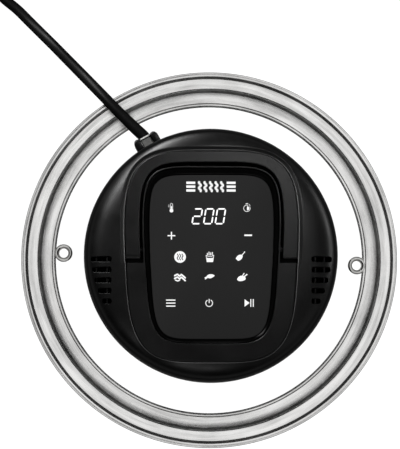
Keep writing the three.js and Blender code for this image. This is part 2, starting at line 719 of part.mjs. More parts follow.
// ---------- mains cord, its stored coil and its plug ----------
const [exitX, exitY] = polar(BUSH_OUT + 0.5, GLAND_ANGLE);
const cordRoute = [
  [exitX, exitY, GLAND_Z],
  [-51.3, 89.4, 61.2],
  [-58.8, 96.8, 61],
  [-65.8, 103.9, 60.2],
  [-72.6, 111.2, 58.4],
  [-80.2, 119.4, 54.2],
  [-88.1, 128.2, 47],
  [-95.8, 137, 37.4],
  [-103.4, 145.8, 27],
  [-111.1, 154.6, 17.6],
  [-120, 164.2, 10],
  [-129.3, 173.9, 5.4],
  [-138.6, 183.3, 4],
  [-149, 192, CORD_R + 0.05],
  [-159, 202.4, CORD_R + 0.05],
  [-168.5, 212.2, CORD_R + 0.05],
];
part("mains_cord", tube(cordRoute, CORD_R, 32), cordPvc);

const coilHeight = 4 * CORD_R;
part(
  "cord_coil",
  tubeRing(COIL_R - COIL_HALF, COIL_R + COIL_HALF, 0, coilHeight, 36).translate([...COIL_CENTRE, 0]),
  cordPvc,
);
const tailRoute = [
  [COIL_CENTRE[0] + 12, COIL_CENTRE[1] + COIL_R + COIL_HALF + 3, CORD_R + 0.1],
  [-107.6, 301.5, 5],
  [-95, 295, 8.6],
  [-83.5, 286, 13],
  [-74, 276, 17],
  [-65.5, 269, PLUG_Z],
];
part("cord_tail", tube(tailRoute, CORD_R, 12), cordPvc);

/** Plug, drawn along +X from its boot to its face. */
const PLUG_FACE = 42;
const plugProfile = [
  [0, 0],
  [5.2, 0],
  [7.2, 16],
  [12, 19],
  [17.2, 26],
  [18.4, 34],
  [18.4, PLUG_FACE],
  [0, PLUG_FACE],
];
const plugBody = cut(
  turned(plugProfile, 24).rotate([0, 90, 0]),
  box([14, 60], [17, 30], [-30, 30]),
  box([14, 60], [-30, -17], [-30, 30]),
);
const plug = new THREE.Group();
plug.position.set(PLUG_AT[0] - 18, PLUG_AT[1], PLUG_Z);
group.add(plug);
part("mains_plug", plugBody, cordPvc, plug);
[["left", 9.5], ["right", -9.5]].forEach(([side, y]) => {
  const pin = cylinder(2.4, PLUG_FACE + 0.1, PLUG_FACE + 19, [0, 0], 12).rotate([0, 90, 0]);
  part(`plug_pin_${side}`, pin, nickel, plug).position.y = y;
});

export default group;
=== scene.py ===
"""Looks of the hot-air frying lid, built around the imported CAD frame.

Shapes are written in millimetres in the row frame and turned into metres when a mesh or
a curve is made. -Y is the user's side, and the origin is under the head's axis.
"""
import json
import math

import bmesh
import bpy
import numpy as np
from mathutils import Matrix, Vector

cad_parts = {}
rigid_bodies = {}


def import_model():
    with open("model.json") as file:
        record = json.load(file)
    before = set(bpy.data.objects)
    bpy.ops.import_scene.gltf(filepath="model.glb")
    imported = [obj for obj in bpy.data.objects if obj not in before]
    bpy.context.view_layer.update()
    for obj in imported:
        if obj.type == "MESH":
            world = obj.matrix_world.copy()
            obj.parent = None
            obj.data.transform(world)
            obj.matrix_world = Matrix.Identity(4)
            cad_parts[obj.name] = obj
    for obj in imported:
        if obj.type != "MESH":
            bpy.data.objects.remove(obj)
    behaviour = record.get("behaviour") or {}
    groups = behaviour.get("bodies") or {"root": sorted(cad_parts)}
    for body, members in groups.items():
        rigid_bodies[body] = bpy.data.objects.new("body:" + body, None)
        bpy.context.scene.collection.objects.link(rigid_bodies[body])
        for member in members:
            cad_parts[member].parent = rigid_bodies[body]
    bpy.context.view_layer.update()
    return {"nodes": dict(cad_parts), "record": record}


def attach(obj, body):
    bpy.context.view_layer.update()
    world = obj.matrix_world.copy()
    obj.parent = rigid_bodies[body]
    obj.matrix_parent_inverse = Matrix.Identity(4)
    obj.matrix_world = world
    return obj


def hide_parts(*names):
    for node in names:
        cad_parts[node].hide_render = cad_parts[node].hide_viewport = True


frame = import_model()

MM = 0.001
RING = 192  # segments of a turned piece

# ---------- dimensions shared with the CAD model ----------
GLASS_TOP = 42.3
GLASS_Z = 38.3
HEAD_R = 84
SPLIT_Z = 70
DOME_H = 53.2
DOME_POWER = 8
WALL = 2.6
PLATEAU_Z = 123.2
HINGE_Y = 3
HANDLE_T = 12
HEEL_Y = HINGE_Y - 6.1
GROOVE_Z = 108.24
FRONT_REST_Y = -5.96
POCKET_Z = 118.6
PANEL_TOP = PLATEAU_Z - 1.2
GLAND_ANGLE = 118.4
GLAND_Z = 61
CORD_R = 3.75
COIL_CENTRE = (-131.5, 250.5)
COIL_R = 42
PLUG_X = -62
PLUG_Y = 266
PLUG_Z = 19

PLATEAU = {"w": 56.4, "h": 68.5, "y": -1.5, "power": 4.1, "taper": 0.085}
HANDLE_INNER = {"w": 46.8, "h": 60.6, "y": -1.1, "power": 4.9, "taper": 0.1}
PANEL_RIM = {"w": 45, "h": 58, "y": -1, "power": 5.4, "taper": 0.12}
PANEL = {"w": 40.2, "h": 53.1, "y": -1.9, "power": 6.2, "taper": 0.105}
TAPER_FROM = 0.4  # the outlines narrow from here towards the front, -1 to 1


# ---------- materials ----------
def feed(mat, socket, value):
    """Sets a socket to a value, or links another socket to it."""
    if isinstance(value, bpy.types.NodeSocket):
        mat.node_tree.links.new(value, socket)
    else:
        socket.default_value = value


def node(mat, kind, **inputs):
    """A new shader node of that kind, with the named inputs set to values or links."""
    made = mat.node_tree.nodes.new(kind)
    for name, value in inputs.items():
        feed(mat, made.inputs[name.replace("_", " ")], value)
    return made


def shader_input(mat, name, value):
    feed(mat, mat.node_tree.nodes["Principled BSDF"].inputs[name], value)


def material(name, color, roughness, metallic=0.0, **inputs):
    mat = bpy.data.materials.new(name)
    mat.use_nodes = True
    shader_input(mat, "Base Color", (*color, 1))
    shader_input(mat, "Roughness", roughness)
    shader_input(mat, "Metallic", metallic)
    for key, value in inputs.items():
        shader_input(mat, key.replace("_", " "), value)
    return mat


def grey(value):
    return (value, value, value)


def object_coords(mat, scale=(1, 1, 1)):
    found = node(mat, "ShaderNodeTexCoord").outputs["Object"]
    return node(mat, "ShaderNodeMapping", Vector=found, Scale=scale).outputs["Vector"]


def ring_coords(mat, across, around):
    """Coordinates that run across and round the Z axis without a seam, for brushing in rings."""
    xyz = node(mat, "ShaderNodeSeparateXYZ", Vector=object_coords(mat)).outputs
    flat = node(mat, "ShaderNodeCombineXYZ", X=xyz["X"], Y=xyz["Y"]).outputs["Vector"]
    radius = vector_node(mat, "LENGTH", flat).outputs["Value"]
    turn = vector_node(mat, "NORMALIZE", flat).outputs["Vector"]
    turn = node(mat, "ShaderNodeSeparateXYZ", Vector=turn).outputs
    return node(
        mat,
        "ShaderNodeCombineXYZ",
        X=math_node(mat, "MULTIPLY", radius, across),
        Y=math_node(mat, "MULTIPLY", turn["X"], around),
        Z=math_node(mat, "MULTIPLY", turn["Y"], around),
    ).outputs["Vector"]


def vector_node(mat, operation, vector):
    made = mat.node_tree.nodes.new("ShaderNodeVectorMath")
    made.operation = operation
    feed(mat, made.inputs[0], vector)
    return made


def math_node(mat, operation, a, b):
    made = mat.node_tree.nodes.new("ShaderNodeMath")
    made.operation = operation
    feed(mat, made.inputs[0], a)
    feed(mat, made.inputs[1], b)
    return made.outputs["Value"]


def blend(mat, first, second, share):
    """A weighted sum of two values: the first one's share, and the rest of the second."""
    return math_node(mat, "ADD", math_node(mat, "MULTIPLY", first, share),
                     math_node(mat, "MULTIPLY", second, 1 - share))


def noise(mat, scale, detail=3.0, rough=0.55, at=None):
    """Noise over the given coordinates, or over the object's own."""
    return node(mat, "ShaderNodeTexNoise", Vector=at or object_coords(mat), Scale=scale,
                Detail=detail, Roughness=rough).outputs["Fac"]


def mapped(mat, value, low, high, start=0.3, end=0.7):
    return node(mat, "ShaderNodeMapRange", Value=value, From_Min=start, From_Max=end, To_Min=low,
                To_Max=high).outputs["Result"]


def ramp(mat, value, dark, light, start=0.3, end=0.7):
    """A colour that goes from dark to light as the value goes from start to end."""
    made = node(mat, "ShaderNodeValToRGB", Fac=value)
    for element, position, color in zip(made.color_ramp.elements, (start, end), (dark, light)):
        element.position = position
        element.color = (*color, 1)
    return made.outputs["Color"]


def tinted(mat, value, *shades):
    shader_input(mat, "Base Color", ramp(mat, value, *shades))


def bumped(mat, height, strength, depth_mm):
    made = node(mat, "ShaderNodeBump", Height=height, Strength=strength, Distance=depth_mm * MM)
    shader_input(mat, "Normal", made.outputs["Normal"])


def moulded(name, color, rough, grain_scale=2600, depth=0.03, gloss=0.5):
    """Moulded plastic: a fine grain, gloss that wanders a little and fades on steep sides."""
    mat = material(name, color, rough)
    facing = node(mat, "ShaderNodeLayerWeight", Blend=0.5).outputs["Facing"]
    shader_input(mat, "Specular IOR Level", mapped(mat, facing, gloss, gloss * 0.1, 0.33, 0.5))
    bumped(mat, noise(mat, grain_scale, 2), 0.35, depth)
    shader_input(mat, "Roughness", mapped(mat, noise(mat, 60, 4), rough - 0.05, rough + 0.06))
    tinted(mat, noise(mat, 900), color, [c * 1.35 for c in color])
    return mat


def brushed(name, color, rough, across=5200, around=9, spread=0.12):
    """Steel or aluminium with fine marks in rings round the Z axis."""
    mat = material(name, color, rough, 0.98)
    lines = noise(mat, 1, 4, 0.65, ring_coords(mat, across, around))
    both = blend(mat, lines, noise(mat, 55, 4), 0.6)
    shader_input(mat, "Roughness", mapped(mat, both, rough - spread / 2, rough + spread))
    streaks = blend(mat, both, noise(mat, 1, at=ring_coords(mat, 330, 2.4)), 0.5)
    tinted(mat, streaks, [c * 0.6 for c in color], color, 0.38, 0.58)
    bumped(mat, lines, 0.25, 0.006)
    return mat


def clear_glass():
    """Thin clear glass: nearly all seen through, glossier towards grazing views."""
    mat = material("clear_glass", (0.93, 0.96, 0.955), 0.02, IOR=1.5)
    facing = node(mat, "ShaderNodeLayerWeight", Blend=0.35).outputs["Facing"]
    shader_input(mat, "Roughness", mapped(mat, noise(mat, 30, 4), 0.01, 0.05))
    shader_input(mat, "Alpha", mapped(mat, facing, 0.035, 0.6, 0.0, 1.0))
    return mat


def panel_glass():
    """Dark glass with a faint even painted glow, standing in for the light it would reflect, so it
    never looks empty.
    """
    mat = material("panel_glass", grey(0.0017), 0.2, Specular_IOR_Level=0.0,
                   Emission_Color=(1, 1, 1, 1), Emission_Strength=0.0097)
    tinted(mat, noise(mat, 1500, 2), grey(0.0015), grey(0.0019))
    shader_input(mat, "Roughness", mapped(mat, noise(mat, 45, 5), 0.16, 0.27))
    return mat


def ink_painted_glow_and_lit_digit(name, strength):
    """White ink or a lit digit, each shown by an even glow of its own: a lit digit's glow is the
    display's real light, while the ink is dark grey underneath and its glow is painted light.
    """
    mat = material(name, grey(0.03), 0.6, Specular_IOR_Level=0.05, Emission_Color=(1, 1, 1, 1))
    speckle = noise(mat, 3000, 2)
    shader_input(mat, "Emission Strength", mapped(mat, speckle, strength * 0.94, strength))
    return mat


def hot_steel():
    """Steel dulled and tinted by heat."""
    mat = material("dark_steel", (0.2, 0.19, 0.18), 0.42, 0.9)
    tinted(mat, noise(mat, 70, 5), (0.1, 0.095, 0.09), (0.3, 0.285, 0.26))
    shader_input(mat, "Roughness", mapped(mat, noise(mat, 260, 4), 0.34, 0.55))
    bumped(mat, noise(mat, 1800), 0.3, 0.03)
    return mat


def striped(name, dark, light, spacing_mm, rough, metallic):
    """Windings or laminations: fine level lines."""
    mat = material(name, dark, rough, metallic)
    wave = node(mat, "ShaderNodeTexWave", Vector=object_coords(mat), Scale=0.16 / (spacing_mm * MM),
                Distortion=0.4, Detail=1.0)
    wave.bands_direction = "Z"
    tinted(mat, wave.outputs["Fac"], dark, light, 0.2, 0.8)
    bumped(mat, wave.outputs["Fac"], 0.5, 0.12)
    return mat


def felt():
    mat = material("insulation", (0.62, 0.58, 0.48), 0.95)
    fibres = noise(mat, 900, 6, 0.75, object_coords(mat, (1, 1, 2.5)))
    tinted(mat, fibres, (0.42, 0.38, 0.3), (0.72, 0.69, 0.6))
    bumped(mat, fibres, 0.7, 0.5)
    return mat


def circuit():
    """Green solder mask with paler tracks under it."""
    mat = material("circuit_board", (0.02, 0.13, 0.06), 0.4)
    tracks = node(mat, "ShaderNodeTexBrick", Vector=object_coords(mat), Scale=160.0,
                  Mortar_Size=0.06, Color1=(0.012, 0.1, 0.045, 1), Color2=(0.016, 0.12, 0.055, 1),
                  Mortar=(0.05, 0.26, 0.12, 1))
    shader_input(mat, "Base Color", tracks.outputs["Color"])
    bumped(mat, tracks.outputs["Fac"], 0.3, 0.04)
    return mat


def family(mat):
    """A material's own name, without the number Blender adds when a name is taken."""
    return mat.name.split(".")[0]


LOOKS = {family(mat): mat for mat in (
    moulded("satin_black", grey(0.00012), 0.34, gloss=0.045),
    moulded("gloss_black", grey(0.0001), 0.2, 400, 0.004, gloss=0.008),
    moulded("component_grey", (0.03, 0.034, 0.038), 0.5, 1800),
    moulded("cord_pvc", grey(0.0003), 0.45, 1500, 0.02, gloss=0.016),
    moulded("silicone", (0.02, 0.02, 0.021), 0.75, 1200, 0.05),
    brushed("steel", (0.86, 0.855, 0.845), 0.25, spread=0.1),
    brushed("aluminium", (0.62, 0.625, 0.635), 0.38, 2400, 4),
    brushed("nickel", (0.6, 0.595, 0.58), 0.1, 3000, 12, 0.05),
    hot_steel(),
    clear_glass(),
    panel_glass(),
    felt(),
    circuit(),
    striped("laminate", (0.16, 0.165, 0.17), (0.42, 0.43, 0.44), 0.5, 0.4, 0.85),
    striped("copper", (0.35, 0.12, 0.045), (0.72, 0.31, 0.13), 0.45, 0.3, 0.9),
)}
# near-black finish of the hinge pins and the glass seal; on the rim's outer edge ring the same black
# is painted shade
BLACKENED_AND_PAINTED_SHADE = moulded("blackened_steel_and_painted_shade", grey(0.0006), 0.5, gloss=0.03)
# painted highlight: a paler, glossier black on one face of each cover section, for the light line
# along the groove's edge
PAINTED_EDGE_HIGHLIGHT = moulded("painted_edge_highlight", grey(0.006), 0.4, gloss=0.22)
BUSH = moulded("bush_grey", (0.014, 0.014, 0.0135), 0.4, gloss=0.05)
# painted highlight: a paler grey for the light line round the bush's lip
BUSH_LIP_HIGHLIGHT = moulded("bush_lip_painted_highlight", (0.055, 0.055, 0.053), 0.4, gloss=0.3)
LOBES = moulded("gland_black", grey(0.00015), 0.3, gloss=0.03)
# the white ink's brightness is painted light
PRINT = ink_painted_glow_and_lit_digit("panel_print", 0.85)
DIGITS = ink_painted_glow_and_lit_digit("panel_digits", 1.1)


# ---------- mesh and curve helpers ----------
def finish_piece(name, data, look, body="lid", nodes=(), own=None, edge=None):
    """Puts a new object in the scene with its material, its body and what it replaces."""
    obj = bpy.data.objects.new(name, data)
    bpy.context.scene.collection.objects.link(obj)
    obj.data.materials.append(own or LOOKS[look])
    if edge:
        obj.data.materials.append(edge)
    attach(obj, body)
    if nodes:
        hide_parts(*nodes)
    return obj


def closed_mesh(name, points, faces, edge_faces=()):
    """A mesh from points and faces. The faces listed in edge_faces get the second material."""
    mesh = bpy.data.meshes.new(name)
    mesh.from_pydata([tuple(c * MM for c in p) for p in points], [], faces)
    for i in edge_faces:
        mesh.polygons[i].material_index = 1
    work = bmesh.new()
    work.from_mesh(mesh)
    bmesh.ops.remove_doubles(work, verts=work.verts, dist=0.002 * MM)
    bmesh.ops.dissolve_degenerate(work, edges=work.edges, dist=0.001 * MM)
    bmesh.ops.recalc_face_normals(work, faces=work.faces)
    work.to_mesh(mesh)
    work.free()
    return mesh


def mesh_piece(name, points, faces, look, sharp=32, edge_faces=(), **options):
    """A smooth piece that keeps its edges above that angle. The options are finish_piece's."""
    mesh = closed_mesh(name, points, faces, edge_faces)
    mesh.shade_smooth()
    mesh.set_sharp_from_angle(angle=math.radians(sharp))
    return finish_piece(name, mesh, look, **options)


def skin(columns, wrap=True):
    """Points and faces of a closed body: each column is a closed loop of points."""
    size = len(columns[0])
    points = [p for column in columns for p in column]
    faces = []
    for i in range(len(columns) - (0 if wrap else 1)):
        j = (i + 1) % len(columns)
        for k in range(size):
            m = (k + 1) % size
            faces.append((i * size + k, j * size + k, j * size + m, i * size + m))
    if not wrap:
        faces.append(tuple(range(size)))
        faces.append(tuple((len(columns) - 1) * size + k for k in range(size)))
    return points, faces


def joined(bodies):
    """Points and faces of several bodies, each given by its columns, as one mesh."""
    points, faces = [], []
    for columns in bodies:
        made, sides = skin(columns, wrap=False)
        faces += [[k + len(points) for k in face] for face in sides]
        points += made
    return points, faces


def circle(r, count, x=0.0, y=0.0):
    turns = np.linspace(0, 2 * math.pi, count, endpoint=False)
    return [(x + r * math.cos(t), y + r * math.sin(t)) for t in turns]


def softened(profile, radius, steps=3):
    """The closed profile with each corner cut back and rounded."""
    made = []
    for i, corner in enumerate(profile):
        here = np.array(corner, float)
        before = np.array(profile[i - 1], float) - here
        after = np.array(profile[(i + 1) % len(profile)], float) - here
        long_before, long_after = np.linalg.norm(before), np.linalg.norm(after)
        back = min(radius, long_before * 0.45, long_after * 0.45)
        start = here + before / long_before * back
        end = here + after / long_after * back
        for k in range(steps + 1):
            t = k / steps
            made.append(tuple((1 - t) ** 2 * start + 2 * t * (1 - t) * here + t * t * end))
    return made


def turned(name, profile, look, at=(0, 0, 0), segments=RING, **options):
    """A closed profile of (r, z) turned about a vertical axis through at."""
    rings = [[(x, y, at[2] + z) for x, y in circle(r, segments, *at[:2])] for r, z in profile]
    return mesh_piece(name, *skin(list(zip(*rings))), look, **options)


def superellipse(power, count):
    """Across and along values of a superellipse that reaches 1 each way."""
    t = np.linspace(0, 2 * math.pi, count, endpoint=False)
    return [np.sign(wave) * np.abs(wave) ** (2 / power) for wave in (np.cos(t), np.sin(t))]


def section(half_w, half_h, power, count=48):
    """Closed superellipse section as (across, up) pairs."""
    across, up = superellipse(power, count)
    return list(zip(half_w * across, half_h * up))


def outline(spec, grow, count):
    """Points of a rounded outline that narrows towards the front, as in the CAD model."""
    across, along = superellipse(spec["power"], count)
    narrow = 1 - spec["taper"] * (np.maximum(0, TAPER_FROM - along) / (1 + TAPER_FROM)) ** 1.5
    x = (spec["w"] + grow) * across * narrow
    return np.stack([x, spec["y"] + (spec["h"] + grow) * along], axis=1)


def radius_at(spec, grow, angles):
    """The outline's distance from the Z axis in each direction."""
    points = outline(spec, grow, 2880)
    turn = np.unwrap(np.arctan2(points[:, 1], points[:, 0]))
    order = np.argsort(turn)
    return np.interp(angles, turn[order], np.hypot(*points[order].T), period=2 * math.pi)


def smooth_path(knots, step):
    """A smooth curve through the knots, with points about step apart."""
    p = [np.array(k, float) for k in knots]
    p = [2 * p[0] - p[1], *p, 2 * p[-1] - p[-2]]
    made = []
    for a, b, c, d in zip(p, p[1:], p[2:], p[3:]):
        count = max(2, round(np.linalg.norm(c - b) / step))
        for k in range(count):
            t = k / count
            made.append(0.5 * (2 * b + (c - a) * t + (2 * a - 5 * b + 4 * c - d) * t * t
                               + (3 * b - a - 3 * c + d) * t ** 3))
    made.append(p[-2])
    return made


def add_line(data, points):
    """A new straight-sided spline of a curve through the points."""
    spline = data.splines.new("POLY")
    spline.points.add(len(points) - 1)
    for slot, p in zip(spline.points, points):
        slot.co = (*(float(c) * MM for c in p), 1)
    return spline


def wire(name, points, radius, look, sides=5, **options):
    """A round rod along the points."""
    data = bpy.data.curves.new(name, "CURVE")
    data.dimensions = "3D"
    data.bevel_depth = radius * MM
    data.bevel_resolution = sides
    data.use_fill_caps = True
    add_line(data, points).use_smooth = True
    return finish_piece(name, data, look, **options)


def loft(name, rings, look, sharp=35, **options):
    """A body through closed rings of points, flat at both ends."""
    return mesh_piece(name, *skin(rings, wrap=False), look, sharp, **options)


def turn_z(point, degrees):
    a = math.radians(degrees)
    x, y, z = point
    return x * math.cos(a) - y * math.sin(a), x * math.sin(a) + y * math.cos(a), z


def polar(r, degrees, z=0.0):
    return turn_z((r, 0, z), degrees)


# ---------- camera, light and floor ----------
CAMERA = Vector((-22, -50, 1150)) * MM
AIM = Vector((-6.5, 23.8, 50)) * MM
SEEN_HEIGHT = 311.3 * MM  # what the picture's height takes in at the distance of AIM
SENSOR = 36


def add_camera():
    data = bpy.data.cameras.new("camera")
    camera = bpy.data.objects.new("camera", data)
    bpy.context.scene.collection.objects.link(camera)
    back = (CAMERA - AIM).normalized()
    right = Vector((0, 1, 0)).cross(back).normalized()
    up = back.cross(right)
    camera.matrix_world = Matrix.Translation(CAMERA) @ Matrix((right, up, back)).transposed().to_4x4()
    data.sensor_width = SENSOR
    data.lens = SENSOR * (CAMERA - AIM).length / SEEN_HEIGHT
    data.clip_start = 0.01
    bpy.context.scene.camera = camera


def add_light(name, at, size, power, long_axis=(0, 0, 1), spread=180):
    """A rectangle that faces the object, with its second side along long_axis."""
    data = bpy.data.lights.new(name, "AREA")
    data.shape = "RECTANGLE"
    data.size, data.size_y = size
    data.energy = power
    data.spread = math.radians(spread)
    light = bpy.data.objects.new(name, data)
    light.location = at
    back = (Vector(at) - Vector((0, 0, 0.06))).normalized()
    along = (Vector(long_axis) - back * back.dot(Vector(long_axis))).normalized()
    light.rotation_mode = "QUATERNION"
    light.rotation_quaternion = Matrix((along.cross(back), along, back)).transposed().to_quaternion()
    bpy.context.scene.collection.objects.link(light)


def add_floor():
    mesh = bpy.data.meshes.new("floor")
    mesh.from_pydata([(-6, -6, 0), (6, -6, 0), (6, 6, 0), (-6, 6, 0)], [], [(0, 1, 2, 3)])
    floor = bpy.data.objects.new("floor", mesh)
    floor.location.z = -0.0004
    bpy.context.scene.collection.objects.link(floor)
    mesh.materials.append(material("floor", grey(0.15), 0.9, Specular_IOR_Level=0.0,
                                   Emission_Color=(1, 1, 1, 1), Emission_Strength=1.0))


def add_world():
    """Soft white surroundings overhead and to the right, much darker round the other sides."""
    world = bpy.data.worlds.new("studio")
    bpy.context.scene.world = world
    world.use_nodes = True
    height = vector_node(world, "DOT_PRODUCT", node(world, "ShaderNodeTexCoord").outputs["Generated"])
    feed(world, height.inputs[1], (0.3, 0.05, 1))
    background = world.node_tree.nodes["Background"].inputs
    feed(world, background["Color"],
         ramp(world, height.outputs["Value"], grey(0.06), grey(1.0), 0.1, 0.95))
    feed(world, background["Strength"], 1.0)


bpy.context.scene.view_settings.view_transform = "Standard"
add_camera()
add_world()
add_floor()
add_light("key", (-0.78, 1.24, 0.76), (0.4, 1.7), 290, (-0.4, -1.19, 1.4))
add_light("near", polar(0.2, 63, 0.55), (0.15, 0.15), 0.14, spread=24)
add_light("front", polar(1.2, 250, 1.4), (1.0, 0.4), 20)
add_light("right", polar(1.8, 14, 0.5), (1.2, 0.5), 50)
add_light("fill", polar(1.3, 320, 0.95), (0.9, 0.9), 5)

# ---------- mains cord, coil, tie and plug ----------
BUSH_OUT = HEAD_R + 10.4


def gland_point(out, across=0.0, up=0.0):
    """A point by how far out it is along the cord's exit, and how far across and above it."""
    return turn_z((out, across, GLAND_Z + up), GLAND_ANGLE)


EXIT = gland_point(BUSH_OUT + 0.3)
ROUTE = [
    gland_point(BUSH_OUT - 7), EXIT,
    (-51.3, 89.4, 61.2), (-58.8, 96.8, 61), (-65.8, 103.9, 60.2), (-72.6, 111.2, 58.4),
    (-80.2, 119.4, 54.2), (-88.1, 128.2, 47), (-95.8, 137, 37.4), (-103.4, 145.8, 27),
    (-111.1, 154.6, 17.6), (-120, 164.2, 10), (-129.3, 173.9, 5.4), (-138.6, 183.3, 4),
    (-149, 192, 3.9), (-159, 202.4, 3.9),
]
TAIL = [
    (-107.6, 299.5, 6.6), (-95, 294.5, 4.3), (-84, 286.5, 6.4), (-75, 276.5, 13),
    (-69, 269.5, 17.6), (PLUG_X - 1, PLUG_Y, PLUG_Z), (PLUG_X + 6, PLUG_Y, PLUG_Z),
]
COIL_START = 226  # degrees, where the cord meets its coil, turning clockwise
COIL_END = 80
FULL_TURNS = 3
SLEEVE_LONG = 24
TIE_ANGLE = 318
TIE_W = 5  # half of its width
TIE_T = 0.9


def eased(x):
    x = min(max(x, 0), 1)
    return x * x * (3 - 2 * x)


def coil_points():
    """Two turns side by side on the floor, then the rest on top of them."""
    sweep = COIL_START - COIL_END + 360 * FULL_TURNS
    outer, inner = COIL_R + CORD_R + 0.05, COIL_R - CORD_R - 0.05
    low, high = CORD_R + 0.1, 3 * CORD_R + 0.15
    made = []
    for swept in np.linspace(0, sweep, round(sweep / 6) + 1)[1:]:
        r = outer + 7.2 * (1 - eased(swept / 110))
        r -= (outer - inner) * (eased((swept - 330) / 70) - eased((swept - 1030) / 70))
        z = low + (high - low) * eased((swept - 690) / 80)
        made.append(polar(r, COIL_START - swept, z))
    return [(x + COIL_CENTRE[0], y + COIL_CENTRE[1], z) for x, y, z in made]


cord_line = smooth_path(ROUTE + coil_points() + TAIL, 2.5)
cord = wire("power_cord", cord_line, CORD_R, "cord_pvc",
            nodes=("mains_cord", "cord_coil", "cord_tail"), sides=6)


def strain_relief():
    """Slim tapered sleeve round the cord where it leaves the gland."""
    line = smooth_path(ROUTE[:8], 0.6)
    start = next(i for i, p in enumerate(line) if np.hypot(p[0], p[1]) > BUSH_OUT - 2)
    rings = []
    run = 0.0
    for here, there in zip(line[start:], line[start + 1:]):
        run += np.linalg.norm(there - here)
        if run > SLEEVE_LONG:
            break
        ahead = Vector(there - here).normalized()
        side = ahead.cross(Vector((0, 0, 1))).normalized()
        up = side.cross(ahead)
        r = 4.15 - 0.3 * run / SLEEVE_LONG
        rings.append([tuple(Vector(here) + side * a + up * u) for a, u in circle(r, 28)])
    return loft("strain_relief", rings, "cord_pvc", sharp=50)


def coil_tie():
    """Hook-and-loop strap round the coil's turns."""
    half = 2 * CORD_R + 0.5
    out, along = Vector(polar(1, TIE_ANGLE)), Vector(polar(1, TIE_ANGLE + 90))
    middle = Vector((*COIL_CENTRE, 0)) + out * COIL_R + Vector((0, 0, half + 0.02))
    columns = []
    for across, up in section(half, half, 5, 64):
        n = Vector((across, up)).normalized()
        loop = []
        for w, t in ((-TIE_W, 0), (TIE_W, 0), (TIE_W, -TIE_T), (-TIE_W, -TIE_T)):
            a, u = across + n.x * t, up + n.y * t
            loop.append(tuple(middle + out * a + Vector((0, 0, u)) + along * w))
        columns.append(loop)
    return mesh_piece("coil_tie", *skin(columns), "silicone")


PLUG_SECTIONS = [
    # x, half width, half height, squareness
    (0, 4.9, 4.9, 2), (0.8, 5.4, 5.4, 2), (15, 6.8, 6.8, 2), (16.5, 8.6, 8.6, 2.1),
    (19, 12.4, 11.8, 2.3), (22, 14.6, 14.4, 2.5), (25.5, 15.6, 16.6, 2.6),
    (26.2, 15.2, 16.2, 2.6), (27, 16.2, 17.4, 2.6), (31, 16.8, 18.2, 2.6),
    (40.6, 16.9, 18.3, 2.6), (41.6, 16.6, 18.0, 2.6), (42, 15.9, 17.3, 2.6),
]


def across_plug(x, pairs, y=0.0):
    """Points of a cross-section of the plug at x, from (across, up) pairs."""
    return [(PLUG_X + x, PLUG_Y + y + a, PLUG_Z + u) for a, u in pairs]


def plug_body():
    rings = [across_plug(x, section(w, h, power, 64)) for x, w, h, power in PLUG_SECTIONS]
    return loft("plug_body", rings, "cord_pvc", nodes=("mains_plug",))


def plug_rib(i):
    """One of the flexible rings of the plug's boot."""
    loop = circle(5.9 + 0.45 * i, 39)
    return wire(f"plug_rib_{i + 1}", across_plug(2.6 + 3 * i, [*loop, loop[0]]), 0.55, "cord_pvc",
                sides=3)


def plug_pin(side, y):
    profile = [(0.02, 42.05), (2.4, 42.05), (2.4, 59), (2.1, 60.3), (1.3, 60.9), (0.02, 60.95)]
    rings = [across_plug(x, circle(r, 28), y) for r, x in profile]
    return loft(f"pin_{side}", rings, "nickel", nodes=(f"plug_pin_{side}",))


plug_pieces = [strain_relief(), coil_tie(), plug_body(), *(plug_rib(i) for i in range(4)),
               plug_pin("left", 9.5), plug_pin("right", -9.5)]

# ---------- steel rim, retainer, steam vents ----------
RIM_SHEET = 0.9
RIM_BEAD = [
    (107.6, 42.9), (107.65, 43.1), (107.8, 43.25), (108.45, 43.25), (108.6, 43.1), (108.7, 42.9),
    (109.1, 42.9), (109.2, 43.2), (109.3, 43.6), (109.4, 43.75),
]
RIM_SLOPES = [
    # radius, slope in degrees there: the cove, the seat for the pot, the outer lip
    (109.4, 0), (111, 3), (112.6, 8), (114, 13), (115.5, 17), (116.7, 20), (117.1, 62),
    (117.5, 70), (118.4, 70), (119, 14),
    (120.2, 4), (122, 0), (123.5, 4), (125.3, 13), (126.1, 54), (126.7, 60), (127.2, 22),
    (127.8, 0), (128.1, -30), (128.35, -56), (128.8, -56), (129, -4), (129.65, 0),
]


def rim_line():
    """The pressed rim's section: its inner bead, then a line that follows the slopes."""
    line = list(RIM_BEAD)
    r, z = line[-1]
    radii, slopes = zip(*RIM_SLOPES)
    step = 0.25
    while r < radii[-1] - step / 2:
        z += math.tan(math.radians(np.interp(r + step / 2, radii, slopes))) * step
        r += step
        line.append((r, z))
    return line


def sheet_profile(line, thickness):
    """Closed profile of a sheet whose middle is the line."""
    p = np.array(line, float)
    along = np.gradient(p, axis=0)
    along /= np.linalg.norm(along, axis=1)[:, None]
    normal = np.stack([-along[:, 1], along[:, 0]], axis=1) * thickness / 2
    return [tuple(q) for q in [*(p + normal), *(p - normal)[::-1]]]


turned("pot_rim", sheet_profile(rim_line(), RIM_SHEET), "steel", nodes=("steel_rim",),
       segments=320, sharp=60)
edge_r, edge_z = rim_line()[-1]
